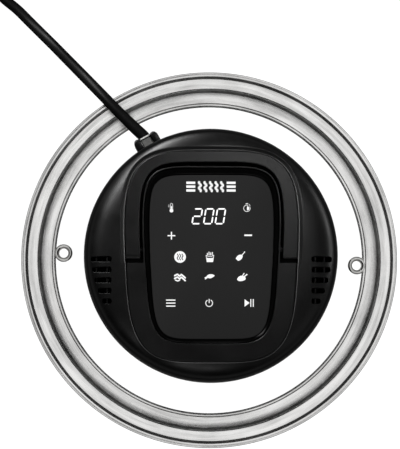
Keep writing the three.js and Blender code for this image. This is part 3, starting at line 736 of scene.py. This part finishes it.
# a thin black ring round the rim's outer edge: painted shade for the shadowed line at its rolled hem
turned("rim_edge", softened([
    (edge_r, edge_z - 0.35), (130, edge_z - 0.35), (130, edge_z + 0.25), (edge_r + 0.2, edge_z + 0.5),
    (edge_r, edge_z + 0.5),
], 0.12), "dark_steel", segments=320, own=BLACKENED_AND_PAINTED_SHADE)
turned("glass_seal", softened([
    (106.7, 42.35), (107.55, 42.35), (107.55, 42.85), (107.2, 42.95), (106.7, 42.75),
], 0.15), "silicone", segments=256, own=BLACKENED_AND_PAINTED_SHADE)
turned("retainer", softened([
    (107.2, 37.4), (109.8, 37.4), (109.8, 42.4), (109, 42.4), (109, 38.2), (107.2, 38.2),
], 0.3), "steel", nodes=("glass_retainer",))
EYELET = [
    (3.1, GLASS_Z - 1), (5.2, GLASS_Z - 0.9), (5.2, GLASS_Z - 0.2), (4.1, GLASS_Z - 0.2),
    (4.1, GLASS_TOP + 0.2), (6.2, GLASS_TOP + 0.2), (6.2, GLASS_TOP + 0.8),
    (5.4, GLASS_TOP + 1.7), (4.6, GLASS_TOP + 1.75), (3.7, GLASS_TOP + 1.1),
    (3.1, GLASS_TOP + 0.2),
]
for side, reach, angle in (("left", 101.4, 177.6), ("right", 103, -2.4)):
    turned(f"eyelet_{side}", softened(EYELET, 0.5), "nickel", nodes=(f"steam_vent_{side}",),
           at=polar(reach, angle), segments=64, sharp=50)

# ---------- heating chamber, guard and heater ----------
turned("drum", softened([
    (8, 36.6), (75, 36.6), (77.2, 34.6), (77.2, 1.9), (76.4, 1.9), (76.4, 0), (78.4, 0),
    (78.4, 1.9), (78, 2.3), (78, 35), (75.8, 37.4), (8, 37.4),
], 0.5), "steel", nodes=("heating_chamber",))
SLOT_RINGS = [
    # first radius, last radius, slots round, bar between slots in degrees
    (11, 27, 4, 14), (31, 46, 6, 8), (50, 65, 8, 6),
]
SLOT_BANDS = 3
SLOT_GAP = 2.2
GUARD_SCREWS = [polar(73, angle) for angle in (90, 210, 330)]


def curved_slot(middle, half, start, end):
    """Outline of a slot round the axis, with round ends beyond its two angles."""
    def edge(r, angles):
        return [(r * math.cos(a), r * math.sin(a)) for a in angles]

    def cap(angle, first):
        centre = edge(middle, [angle])[0]
        around = edge(half, angle + np.linspace(first, first + math.pi, 7)[1:-1])
        return [(centre[0] + x, centre[1] + y) for x, y in around]

    angles = np.linspace(start, end, 14)
    return [*edge(middle + half, angles), *cap(end, 0), *edge(middle - half, angles[::-1]),
            *cap(start, math.pi)]


def guard_loops():
    """The plate's edge, its screw holes and its slots."""
    loops = [circle(75.9, 160), *(circle(2.1, 24, x, y) for x, y, _ in GUARD_SCREWS)]
    for first, last, count, bar_angle in SLOT_RINGS:
        width = (last - first - (SLOT_BANDS - 1) * SLOT_GAP) / SLOT_BANDS
        for band in range(SLOT_BANDS):
            middle = first + band * (width + SLOT_GAP) + width / 2
            clear = math.radians(bar_angle / 2) + width / 2 / middle
            bounds = np.linspace(0, 2 * math.pi, count + 1)
            loops += [curved_slot(middle, width / 2, start + clear, end - clear)
                      for start, end in zip(bounds, bounds[1:])]
    return loops


def guard():
    """Floor plate of the chamber: bands of curved slots with round ends."""
    data = bpy.data.curves.new("floor_grille", "CURVE")
    data.dimensions = "2D"
    data.fill_mode = "BOTH"
    data.extrude = 0.4 * MM
    data.bevel_depth = 0.1 * MM
    for loop in guard_loops():
        add_line(data, [(x, y, 0) for x, y in loop]).use_cyclic_u = True
    made = finish_piece("floor_grille", data, "steel", nodes=("fan_guard",))
    made.location.z = 2.6 * MM
    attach(made, "lid")


guard()
for i, at in enumerate(GUARD_SCREWS):
    turned(f"grille_screw_{i + 1}", softened([
        (0, 0.9), (0.9, 0.9), (1.1, 0.55), (2.3, 0.55), (3.2, 1.1), (3.2, 1.85), (1.8, 1.9),
        (1.8, 6.4), (0, 6.4),
    ], 0.15), "nickel", nodes=(f"guard_screw_{i + 1}",), at=at, segments=40)


def element_points():
    """Down from one terminal, nearly twice round the chamber, and up to the other terminal."""
    first = polar(56, 0)[:2]
    last = polar(53, -20)[:2]
    knots = [(*first, 48), (*first, 41), (*first, 34), polar(58.5, 9, 28.6)]
    knots += [polar(62, 25 + 640 * share, 27 - 14 * share) for share in np.linspace(0, 1, 27)]
    knots += [polar(59, -38, 12.8), polar(54, -25, 15), (*last, 22), (*last, 35), (*last, 48)]
    return smooth_path(knots, 3)


wire("heater_rod", element_points(), 3.2, "dark_steel", nodes=("heating_element",))

# ---------- black head: base ----------
turned("head_base", softened([
    (63.5, 43.2), (85.4, 43.2), (85.4, 44.5), (83.6, 45.3), (83.9, 52), (84, 69.2), (83.4, 69.8),
    (81.4, 69.8), (81.4, 56), (81, 49), (79.2, 45.9), (63.5, 45.9),
], 0.5), "satin_black", nodes=("base_housing",), segments=256)


# ---------- black head: top cover ----------
def dome_point(angle, inset):
    """A point of the dome's section, by its direction from the section's own centre."""
    c, s = math.cos(angle), math.sin(angle)
    reach = (c ** DOME_POWER + s ** DOME_POWER) ** (-1 / DOME_POWER)
    return (HEAD_R - inset) * reach * c, SPLIT_Z + (DOME_H - inset) * reach * s


def dome_height(r):
    share = min(1, r / HEAD_R) ** DOME_POWER
    return SPLIT_Z + DOME_H * (1 - share) ** (1 / DOME_POWER)


CROWN = 1.1  # how far the flat top falls away at 70 mm from the axis


def top_height(r):
    """The gently crowned top of the handle and of its front rest."""
    return PLATEAU_Z - CROWN * (r / 70) ** 2


def dome_arc(first_z, last_r, inset, count):
    """Points from the height first_z on the dome up to the radius last_r."""
    ends = []
    for passed in (lambda p: p[1] < first_z, lambda p: p[0] > last_r):
        low, high = 0.0, math.pi / 2
        for _ in range(40):
            middle = (low + high) / 2
            low, high = (middle, high) if passed(dome_point(middle, inset)) else (low, middle)
        ends.append(high)
    return [dome_point(a, inset) for a in np.linspace(*ends, count)]


def cover_section(plateau, groove, rim, pocket, open_groove):
    """Closed section of the cover in one direction, from its foot over its top and back."""
    edge = groove if open_groove else plateau
    band = edge + BAND_W
    outer = dome_arc(LIP_Z + 1.2, band + 0.3, 0, 30)
    top = outer[-1][1]
    foot = [
        (HEAD_R - WALL, SPLIT_Z), (HEAD_R - 0.5, SPLIT_Z), (HEAD_R, SPLIT_Z + 0.5),
        (HEAD_R, LIP_Z - 0.7), (HEAD_R - 0.25, LIP_Z), (HEAD_R - 0.8, LIP_Z + 0.15),
        (HEAD_R - 0.85, LIP_Z + 0.5),
    ]
    outer = [(min(r, HEAD_R - 0.85), z) for r, z in outer]
    if open_groove:
        low = top - BAND_DROP
        shoulder = [
            (band, top), (band - 0.25, top - 0.1), (edge + 0.6, low),
            (edge + 0.1, low - 0.12), (edge, low - 0.5), (edge, GROOVE_Z + 1.2),
            (edge - 0.4, GROOVE_Z + 0.35), (edge - 1.2, GROOVE_Z),
            (rim + 1.2, GROOVE_Z), (rim + 0.35, GROOVE_Z + 0.35), (rim, GROOVE_Z + 1.2),
        ]
    else:
        shoulder = [
            (edge + 0.6, dome_height(edge + 0.6)), (edge + 0.25, dome_height(edge) - 0.05),
            (edge + 0.05, dome_height(edge) - 0.4), (edge - 0.15, top_height(edge) - 0.5),
            (edge - 0.3, top_height(edge) - 0.2), (edge - 0.7, top_height(edge)),
        ]
        shoulder += [(r, top_height(r)) for r in np.linspace(edge - 1, rim + 0.6, 5)]
    lip_z = top_height(rim)
    lip = [
        (rim, lip_z - 0.5), (rim - 0.08, lip_z - 0.12), (rim - 0.25, lip_z), (rim - 0.4, lip_z),
        (rim - 0.6, lip_z), (rim - 0.75, lip_z), (rim - 0.92, lip_z - 0.12),
        (pocket, lip_z - 0.5), (pocket, POCKET_Z + 1), (pocket, POCKET_Z), (pocket - 4, POCKET_Z),
        (0, POCKET_Z),
    ]
    if not open_groove:
        lip[:3] = [(rim + 0.3, lip_z), (rim + 0.1, lip_z), (rim - 0.2, lip_z)]
    inner = dome_arc(SPLIT_Z + 1, groove + 2.6, WALL, 12)[::-1]
    under = [(0, GROOVE_Z - 2.3), (groove + 2.5, GROOVE_Z - 2.3)]
    return [*foot, *outer, *shoulder, *lip, *under, *inner]


GROOVE_GAP = 0.35  # between the handle and the groove's wall
BAND_W = 2.5  # shallow band round the handle's groove
BAND_DROP = 0.2
LIP_Z = 99.5  # small step in the head's wall
COVER_SHARP = 38  # degrees between faces from which an edge stays sharp
SHOULDER_AT = 37  # points of a section before its shoulder: 7 in the foot, 30 on the dome


def top_cover():
    """The cover, with its groove open behind the front rest and closed in front of it."""
    switch = math.atan2(FRONT_REST_Y, PLATEAU["w"] + 0.9)
    near = math.radians(3.2)
    marks = []  # angle, groove open or not, on the groove's end face or not
    for a in np.linspace(0, 2 * math.pi, 300, endpoint=False):
        a = (a + math.pi / 2) % (2 * math.pi) - math.pi / 2
        from_right, from_left = a - switch, math.pi - a - switch
        if min(abs(from_right), abs(from_left)) >= near:
            marks.append((a, from_right > 0 and from_left > 0, False))
    for end, way in ((switch, 1), (math.pi - switch, -1)):
        marks += [(end, True, True), (end, False, True)]
        marks += [(end + way * math.radians(extra), True, False) for extra in (0.7, 1.9)]
    marks.sort(key=lambda mark: (mark[0], mark[1] * (1 if mark[0] < math.pi / 2 else -1)))
    angles = np.array([m[0] for m in marks])
    lines = ((PLATEAU, 0), (PLATEAU, GROOVE_GAP), (PANEL_RIM, 0), (PANEL_RIM, -1))
    reaches = zip(*(radius_at(spec, grow, angles) for spec, grow in lines))
    columns, edge_faces = [], []
    for (a, is_open, at_end), (plateau, groove, rim, pocket) in zip(marks, reaches):
        loop = []
        for r, z in cover_section(plateau, groove, rim, pocket, is_open):
            x, y = r * math.cos(a), r * math.sin(a)
            if at_end and pocket - 1 < r < groove + 0.6:
                y = FRONT_REST_Y
            loop.append((x, y, z))
        # this face at the shoulder gets the second material, the painted edge highlight
        edge_faces.append(len(columns) * len(loop) + SHOULDER_AT + (2 if is_open else 0))
        columns.append(loop)
    return mesh_piece("head_cover", *skin(columns), "satin_black", COVER_SHARP, edge_faces,
                      nodes=("top_cover",), edge=PAINTED_EDGE_HIGHLIGHT)


VENT_COUNT = 5
VENT_PITCH = 6.8
VENT_FIRST_Y = -3.5
VENT_W = 3.1
VENT_IN_X = 64.6
VENT_OUT_R = 78.4


def slot_plan(index):
    """Stations along one cooling slot: (x, half width there) on the right-hand side."""
    y = VENT_FIRST_Y - index * VENT_PITCH
    r = VENT_W / 2
    first = VENT_IN_X + r
    last = math.sqrt(VENT_OUT_R ** 2 - y ** 2) - r - index * 0.35
    ends = [math.radians(a) for a in (1, 15, 30, 45, 60, 75)]
    stations = [(first - r * math.cos(a), r * math.sin(a)) for a in ends]
    stations += [(x, r) for x in np.linspace(first, last, 8)]
    return y, stations + [(last + r * math.cos(a), r * math.sin(a)) for a in ends[::-1]]


def vent_cutter():
    """All the cooling slots with their chamfered edges, as one cutting mesh."""
    chamfer = 0.5
    slots = []
    for side in (1, -1):
        for i in range(VENT_COUNT):
            y, stations = slot_plan(i)
            columns = []
            for x, half in stations:
                surface = dome_height(math.hypot(x, y))
                wall = [(half + chamfer, 130), (half + chamfer, surface + 0.05),
                        (half, surface - chamfer), (half, 92)]
                loop = [(-across, z) for across, z in wall[::-1]] + wall
                columns.append([(side * x, y + across, z) for across, z in loop])
            slots.append(columns)
    cutter = bpy.data.objects.new("vent_cutter", closed_mesh("vent_cutter", *joined(slots)))
    bpy.context.scene.collection.objects.link(cutter)
    return cutter


def cut_vents(cover):
    cutter = vent_cutter()
    cut = cover.modifiers.new("vents", "BOOLEAN")
    cut.operation = "DIFFERENCE"
    cut.solver = "EXACT"
    cut.object = cutter
    graph = bpy.context.evaluated_depsgraph_get()
    mesh = bpy.data.meshes.new_from_object(cover.evaluated_get(graph))
    cover.modifiers.clear()
    cover.data = mesh
    bpy.data.objects.remove(cutter)
    mesh.set_sharp_from_angle(angle=math.radians(COVER_SHARP))


def vent_rib(side, x):
    """Columns of one upright rib inside a shoulder, seen through the slots."""
    foot, thick = 97, 0.9
    columns = []
    for y in np.linspace(0.5, -34, 14):
        near, far = (max(foot + 0.5, dome_height(math.hypot(a, y)) - 1.5) for a in (x, x + thick))
        plan = [(x, foot), (x, near), (x + thick, far), (x + thick, foot)]
        columns.append([(side * a, y, z) for a, z in plan])
    return columns


cut_vents(top_cover())
ribs = [vent_rib(1, 66.9), vent_rib(1, 72.8), vent_rib(-1, 67.2), vent_rib(-1, 74.2)]
mesh_piece("vent_ribs", *joined(ribs), "satin_black")


# ---------- handle ----------
def u_line(spec, heel_y, count):
    """The outline's part behind heel_y, from the right heel round the back, evenly spaced."""
    points = outline(spec, 0, 4000)
    turn = np.unwrap(np.arctan2(points[:, 1] - spec["y"], points[:, 0]))
    points = points[np.argsort(turn)]
    kept = points[points[:, 1] > heel_y + 0.02]
    start = np.argmax(kept[:, 0] * (np.abs(kept[:, 1] - heel_y) < 1.5))
    kept = np.roll(kept, -start, axis=0)
    kept = np.vstack([(kept[0, 0], heel_y), kept, (kept[-1, 0], heel_y)])
    run = np.concatenate([[0], np.cumsum(np.hypot(*np.diff(kept, axis=0).T))])
    at = np.linspace(0, run[-1], count)
    return np.stack([np.interp(at, run, kept[:, k]) for k in range(2)], axis=1)


def handle():
    outer = u_line(PLATEAU, HEEL_Y, 200)
    inner = u_line(HANDLE_INNER, HEEL_Y, 200)
    bottom, top = PLATEAU_Z - HANDLE_T, PLATEAU_Z
    columns = []
    for o, n in zip(outer, inner):
        width = float(np.hypot(*(n - o)))
        across = (n - o) / width
        loop = [
            (0.7, bottom + 0.1), (0.15, bottom + 0.5), (0, bottom + 1.3), (0, top - 1),
            (0.06, top - 0.5), (0.2, top - 0.2), (0.45, top - 0.04), (0.75, top), (0.95, top),
            (width * 0.37, top), (width * 0.63, top), (width - 0.85, top), (width - 0.65, top),
            (width - 0.3, top - 0.08), (width - 0.08, top - 0.32),
            (width, top - 0.9), (width, bottom + 1.1), (width - 0.2, bottom + 0.4),
            (width - 0.9, bottom), (1.4, bottom),
        ]
        column = [(*(o + across * d), z) for d, z in loop]
        columns.append([(x, y, z - PLATEAU_Z + top_height(math.hypot(x, y)) if z > top - 2 else z)
                        for x, y, z in column])
    # a section drawn in at the right heel and one just behind the left, each beside a full one
    for i in (0, len(outer) - 1):
        face = np.array(columns[i])
        centre = face.mean(axis=0)
        columns[i] = [tuple(p) for p in centre + (face - centre) * (0.93, 1, 0.94)]
        columns.insert(i + 1, [tuple(p) for p in face + (0, 0.35, 0)])
    mesh_piece("bail_handle", *skin(columns, wrap=False), "satin_black", 40, body="handle",
               nodes=("carry_handle",))


handle()


# ---------- panel ----------
def ring_section(name, spec_points, look, nodes):
    """A body whose closed section, (outline, grow, z) points, follows outlines round the axis."""
    angles = np.linspace(0, 2 * math.pi, 300, endpoint=False)
    rows = []
    for spec, grow, z in spec_points:
        reach = radius_at(spec, grow, angles) if spec else 0 * angles
        rows.append([(r * math.cos(a), r * math.sin(a), z) for r, a in zip(reach, angles)])
    mesh_piece(name, *skin(list(zip(*rows))), look, 40, nodes=nodes)


ring_section("bezel", [
    (PANEL_RIM, -1.25, POCKET_Z + 0.1), (PANEL_RIM, -1.25, POCKET_Z + 2.9),
    (PANEL_RIM, -1.6, POCKET_Z + 3.2), (PANEL, 0.9, POCKET_Z + 2.9),
    (PANEL, 0.45, POCKET_Z + 2.5), (PANEL, 0.3, POCKET_Z + 0.1),
], "gloss_black", ("panel_bezel",))
ring_section("control_glass", [
    (None, 0, POCKET_Z + 0.1), (PANEL, 0, POCKET_Z + 0.1), (PANEL, 0, PANEL_TOP - 0.7),
    (PANEL, -0.2, PANEL_TOP - 0.2), (PANEL, -0.7, PANEL_TOP), (None, 0, PANEL_TOP),
], "panel_glass", ("touch_panel",))


# ---------- printed symbols ----------
def disc(x, y, r, count=28):
    return [circle(r, count, x, y)]


def stroke(points, width, ends=True):
    """A line of that width: one strip for each stretch, with round joints and ends."""
    made = []
    for (x0, y0), (x1, y1) in zip(points, points[1:]):
        long = math.hypot(x1 - x0, y1 - y0)
        nx, ny = -(y1 - y0) / long * width / 2, (x1 - x0) / long * width / 2
        made.append([(x0 - nx, y0 - ny), (x1 - nx, y1 - ny), (x1 + nx, y1 + ny), (x0 + nx, y0 + ny)])
    joints = points if ends else points[1:-1]
    for x, y in joints:
        made += disc(x, y, width / 2, 12)
    return made


def bar(x0, y0, x1, y1, width):
    """A straight stroke with square ends."""
    return stroke([(x0, y0), (x1, y1)], width, False)


def arc(x, y, r, start, end):
    turns = np.radians(np.linspace(start, end, 20))
    return [(x + r * math.cos(t), y + r * math.sin(t)) for t in turns]


def blob(knots):
    """A smooth closed shape through the knots."""
    line = smooth_path([(x, y, 0) for x, y in [*knots, *knots[:3]]], 0.25)
    later = range((len(line) + 1) // 2, len(line))
    end = min(later, key=lambda i: np.linalg.norm(line[i] - line[0]))
    return [[(x, y) for x, y, _ in line[:end]]]


def shifted(shapes, x, y):
    return [[(a + x, b + y) for a, b in shape] for shape in shapes]


def thermometer():
    made = stroke([(0.75, -0.9), *arc(0, 2, 0.75, 0, 180), (-0.75, -0.9)], 0.3)
    made += disc(0, -1.9, 1.2) + stroke([(0, -1.6), (0, 0.8)], 0.7)
    return made + stroke([(-2.0, 1.6), (-1.5, 1.6)], 0.3) + stroke([(-2.0, 0.6), (-1.5, 0.6)], 0.3)


def stopwatch():
    made = stroke(arc(0, -0.5, 2.1, 70, 390), 0.34) + [[(0, -0.5)] + arc(0, -0.5, 1.5, -80, 80)]
    return made + stroke([(-0.6, 2.5), (0.6, 2.5)], 0.5) + stroke([(1.6, 1.9), (2.0, 1.5)], 0.4)


def heat_badge():
    return disc(0, 0, 3.75, 48)


def waves(places, high, sway, pitch, width, count):
    """Upright wavy strokes, for rising heat."""
    made = []
    for x in places:
        line = [(x + sway * math.sin(t * pitch), t) for t in np.linspace(-high, high, count)]
        made += stroke(line, width)
    return made


def fries():
    """A carton in outline, filled below, with the fries standing out of it."""
    made = [[(-2.0, -0.6), (-1.7, -3.2), (1.7, -3.2), (2.0, -0.6), (1.2, -0.9), (-1.2, -0.9)]]
    made += stroke([(-2.5, 1.0), (-1.9, -3.3), (1.9, -3.3), (2.5, 1.0)], 0.35)
    made += stroke([(-2.5, 1.0), (-1.2, 0.2), (1.2, 0.2), (2.5, 1.0)], 0.35)
    for x, top in ((-1.7, 2.4), (-0.6, 3.2), (0.5, 2.7), (1.6, 3.0)):
        made += bar(x * 0.9, 0.9, x, top, 0.55)
    return made


def drumstick():
    made = blob([(-2.9, -1.5), (-1.2, -2.7), (0.9, -1.4), (1.5, 0.6), (0.3, 1.2), (-1.6, 0.6)])
    return made + stroke([(1.1, 1.0), (2.5, 2.6)], 0.5) + disc(2.7, 2.9, 0.4)


def bacon():
    """Two rashers, each a zigzag with soft corners."""
    made = []
    for lift in (1.2, -0.6):
        made += stroke([(-3.4, lift), (-1.6, lift + 0.9), (-0.2, lift - 0.3), (1.0, lift + 0.8),
                        (3.4, lift - 1.4)], 1.0)
    return made + stroke([(-2.9, -1.6), (-1.4, -2.2), (-0.2, -1.7)], 0.8)


def fish():
    made = blob([(-2.2, 0.1), (-0.6, 1.5), (1.6, 1.7), (3.3, 0.9), (2.2, -0.2), (0.2, -0.9)])
    return made + [[(-1.5, 0.4), (-3.5, -0.6), (-2.7, -0.9), (-2.9, -1.9), (-1.2, -0.6)]]


def roast():
    made = blob([(-3.0, -1.0), (-1.8, 0.6), (0.2, 1.2), (2.2, 0.4), (2.5, -1.1), (0.8, -2.1),
                 (-1.8, -2.2)])
    made += stroke([(1.6, 0.6), (3.1, 1.7)], 0.7) + disc(3.3, 1.9, 0.5)
    return made + stroke([(0.4, 1.0), (1.4, 2.4)], 0.55) + disc(1.5, 2.6, 0.4)


def plus():
    return bar(-2.5, 0, 2.5, 0, 0.75) + bar(0, -2.5, 0, 2.5, 0.75)


def minus():
    return bar(-2.5, 0, 2.5, 0, 1.0)


def menu():
    return [s for y in (1.95, 0, -1.95) for s in bar(-3, y, 3, y, 0.7)]


def power():
    return stroke(arc(0, 0, 2.2, 125, 415), 0.55) + stroke([(0, 0.3), (0, 2.5)], 0.55)


def play_pause():
    bars = bar(1.1, -2.5, 1.1, 2.5, 0.6) + bar(2.7, -2.5, 2.7, 2.5, 0.6)
    return [[(-2.9, -2.4), (0.3, 0), (-2.9, 2.4)]] + bars


def heat_mark():
    """Generic heading: rising heat between two sets of rules."""
    made = waves((-7.2, -3.6, 0, 3.6, 7.2), 2.9, 0.6, 1.8, 1.5, 22)
    for side in (-1, 1):
        for y in (-2.5, 0, 2.5):
            made += bar(side * 10.2, y, side * 16, y, 1.5)
    return made


SEGMENTS = {
    # which half-widths and half-heights of the digit each segment runs between
    "a": (-1, 1, 1, 1), "b": (1, 1, 1, 0), "c": (1, 0, 1, -1), "d": (-1, -1, 1, -1),
    "e": (-1, 0, -1, -1), "f": (-1, 1, -1, 0), "g": (-1, 0, 1, 0),
}


def seven_segment(on):
    """One slanted digit, 10.5 mm high, from the segments that are lit."""
    w, h, half, gap, slant = 2.6, 4.8, 0.45, 0.3, 0.16
    made = []
    for name in on:
        x0, y0, x1, y1 = np.array(SEGMENTS[name]) * (w, h, w, h)
        long = math.hypot(x1 - x0, y1 - y0)
        ux, uy = (x1 - x0) / long, (y1 - y0) / long
        plan = [(gap, 0), (gap + half, half), (long - gap - half, half), (long - gap, 0),
                (long - gap - half, -half), (gap + half, -half)]
        shape = [(x0 + ux * d - uy * s, y0 + uy * d + ux * s) for d, s in plan]
        made.append([(x + slant * y, y) for x, y in shape])
    return made


BADGE_AT = (-20.4, -2.1)
SYMBOLS = [
    (heat_mark, -0.4, 43.6), (thermometer, -26, 29.9), (stopwatch, 22.9, 30), (plus, -26, 11.7),
    (minus, 23.7, 12), (heat_badge, *BADGE_AT), (fries, -1.1, -1.9), (drumstick, 18.6, -1.8),
    (bacon, -20.5, -15.4), (fish, -1.4, -15), (roast, 19.4, -15.4), (menu, -26.4, -31.9),
    (power, -1.6, -31.9), (play_pause, 24.2, -31.8),
]
DIGITS_AT = (-1.8, 24.3)
DIGIT_PITCH = 7.5


def printed(name, shapes, own, lift=0.02):
    """Flat shapes as thin prisms just above the panel's glass."""
    low = PANEL_TOP + lift
    prisms = [[[(x, y, z) for x, y in shape] for z in (low, low + 0.03)] for shape in shapes]
    mesh_piece(name, *joined(prisms), "gloss_black", own=own)


printed("panel_symbols", [s for draw, x, y in SYMBOLS for s in shifted(draw(), x, y)], PRINT)
badge_waves = waves((-1.5, 0, 1.5), 1.9, 0.35, 2.2, 0.6, 16)  # in the panel's own dark
printed("badge_waves", shifted(badge_waves, *BADGE_AT), LOOKS["panel_glass"], 0.06)
digit_shapes = []
for i, lit in enumerate(("abged", "abcdef", "abcdef")):
    digit_shapes += shifted(seven_segment(lit), DIGITS_AT[0] + (i - 1) * DIGIT_PITCH, DIGITS_AT[1])
printed("panel_digits", digit_shapes, DIGITS)


# ---------- cord entry ----------
def gland():
    """Two rounded shoulders, one on either side of the cord's bush."""
    half, out, high = 8.9, HEAD_R + 11, 7
    notch = 3.9  # half width of the gap for the bush
    plan = [(HEAD_R - 1.2, -half), (out - 2.6, -half), (out - 0.6, -half + 1.2),
            (out, -half + 2.8), (out - 0.5, -notch - 0.4), (out - 1.6, -notch),
            (HEAD_R - 1.2, -notch)]
    middle = np.array((HEAD_R, -(half + notch) / 2))
    levels = [(-high, 0.82), (-high + 0.6, 0.94), (-high + 1.8, 1), (high - 1, 1),
              (high - 0.4, 0.97), (high - 0.1, 0.92), (high, 0.85)]
    for side, way in (("left", 1), ("right", -1)):
        rings = []
        for z, keep in levels:
            ring = middle + (np.array(softened(plan, 1.6, 5)) - middle) * keep
            rings.append([gland_point(x, -way * y, z) for x, y in ring])
        loft(f"gland_boss_{side}", rings, "satin_black", 45, nodes=("cord_gland",), own=LOBES)


def bush():
    """Square-shouldered bush that the cord's sleeve comes out of: body; neck, drawn in and painted
    black as the shade of a gap; lip, given a paler colour as a painted highlight.
    """
    neck = BUSH_OUT - 1.0
    parts = {
        "gland_bush": (BUSH, ((80, 3.5, 4.7), (neck - 1, 3.5, 4.7), (neck - 0.8, 3.3, 4.5))),
        # the neck is drawn in, and also gets the lobes' black as painted shade of the gap
        "bush_neck": (LOBES, ((neck - 1.2, 3.1, 4.1), (neck + 0.3, 3.1, 4.1))),
        "bush_lip_painted_highlight": (BUSH_LIP_HIGHLIGHT, ((neck - 0.1, 3.5, 4.9), (neck + 0.1, 3.7, 5.1),
                                (BUSH_OUT - 0.2, 3.7, 5.1), (BUSH_OUT, 3.5, 4.9))),
    }
    for name, (own, places) in parts.items():
        rings = [[gland_point(out, a, u) for a, u in section(half_w, half_h, 9)]
                 for out, half_w, half_h in places]
        loft(name, rings, "satin_black", nodes=("cord_bush",), sharp=40, own=own)


gland()
bush()

# ---------- CAD nodes that stay ----------
slots = {s["node"]: s["material_slot"] for s in frame["record"]["subparts"]}
for name, obj in frame["nodes"].items():
    if obj.hide_render:
        continue
    obj.data.materials.clear()
    obj.data.materials.append(BLACKENED_AND_PAINTED_SHADE if name.startswith("hinge_pin") else LOOKS[slots[name]])

# the lamps light only the black parts: the steel and the glass show just the pale surroundings
dark = bpy.data.collections.new("black_parts")
for obj in bpy.context.scene.objects:
    if obj.type in ("MESH", "CURVE") and obj.data.materials:
        if family(obj.data.materials[0]) not in ("steel", "nickel", "clear_glass", "floor"):
            dark.objects.link(obj)
for obj in bpy.context.scene.objects:
    if obj.type == "LIGHT":
        obj.light_linking.receiver_collection = dark
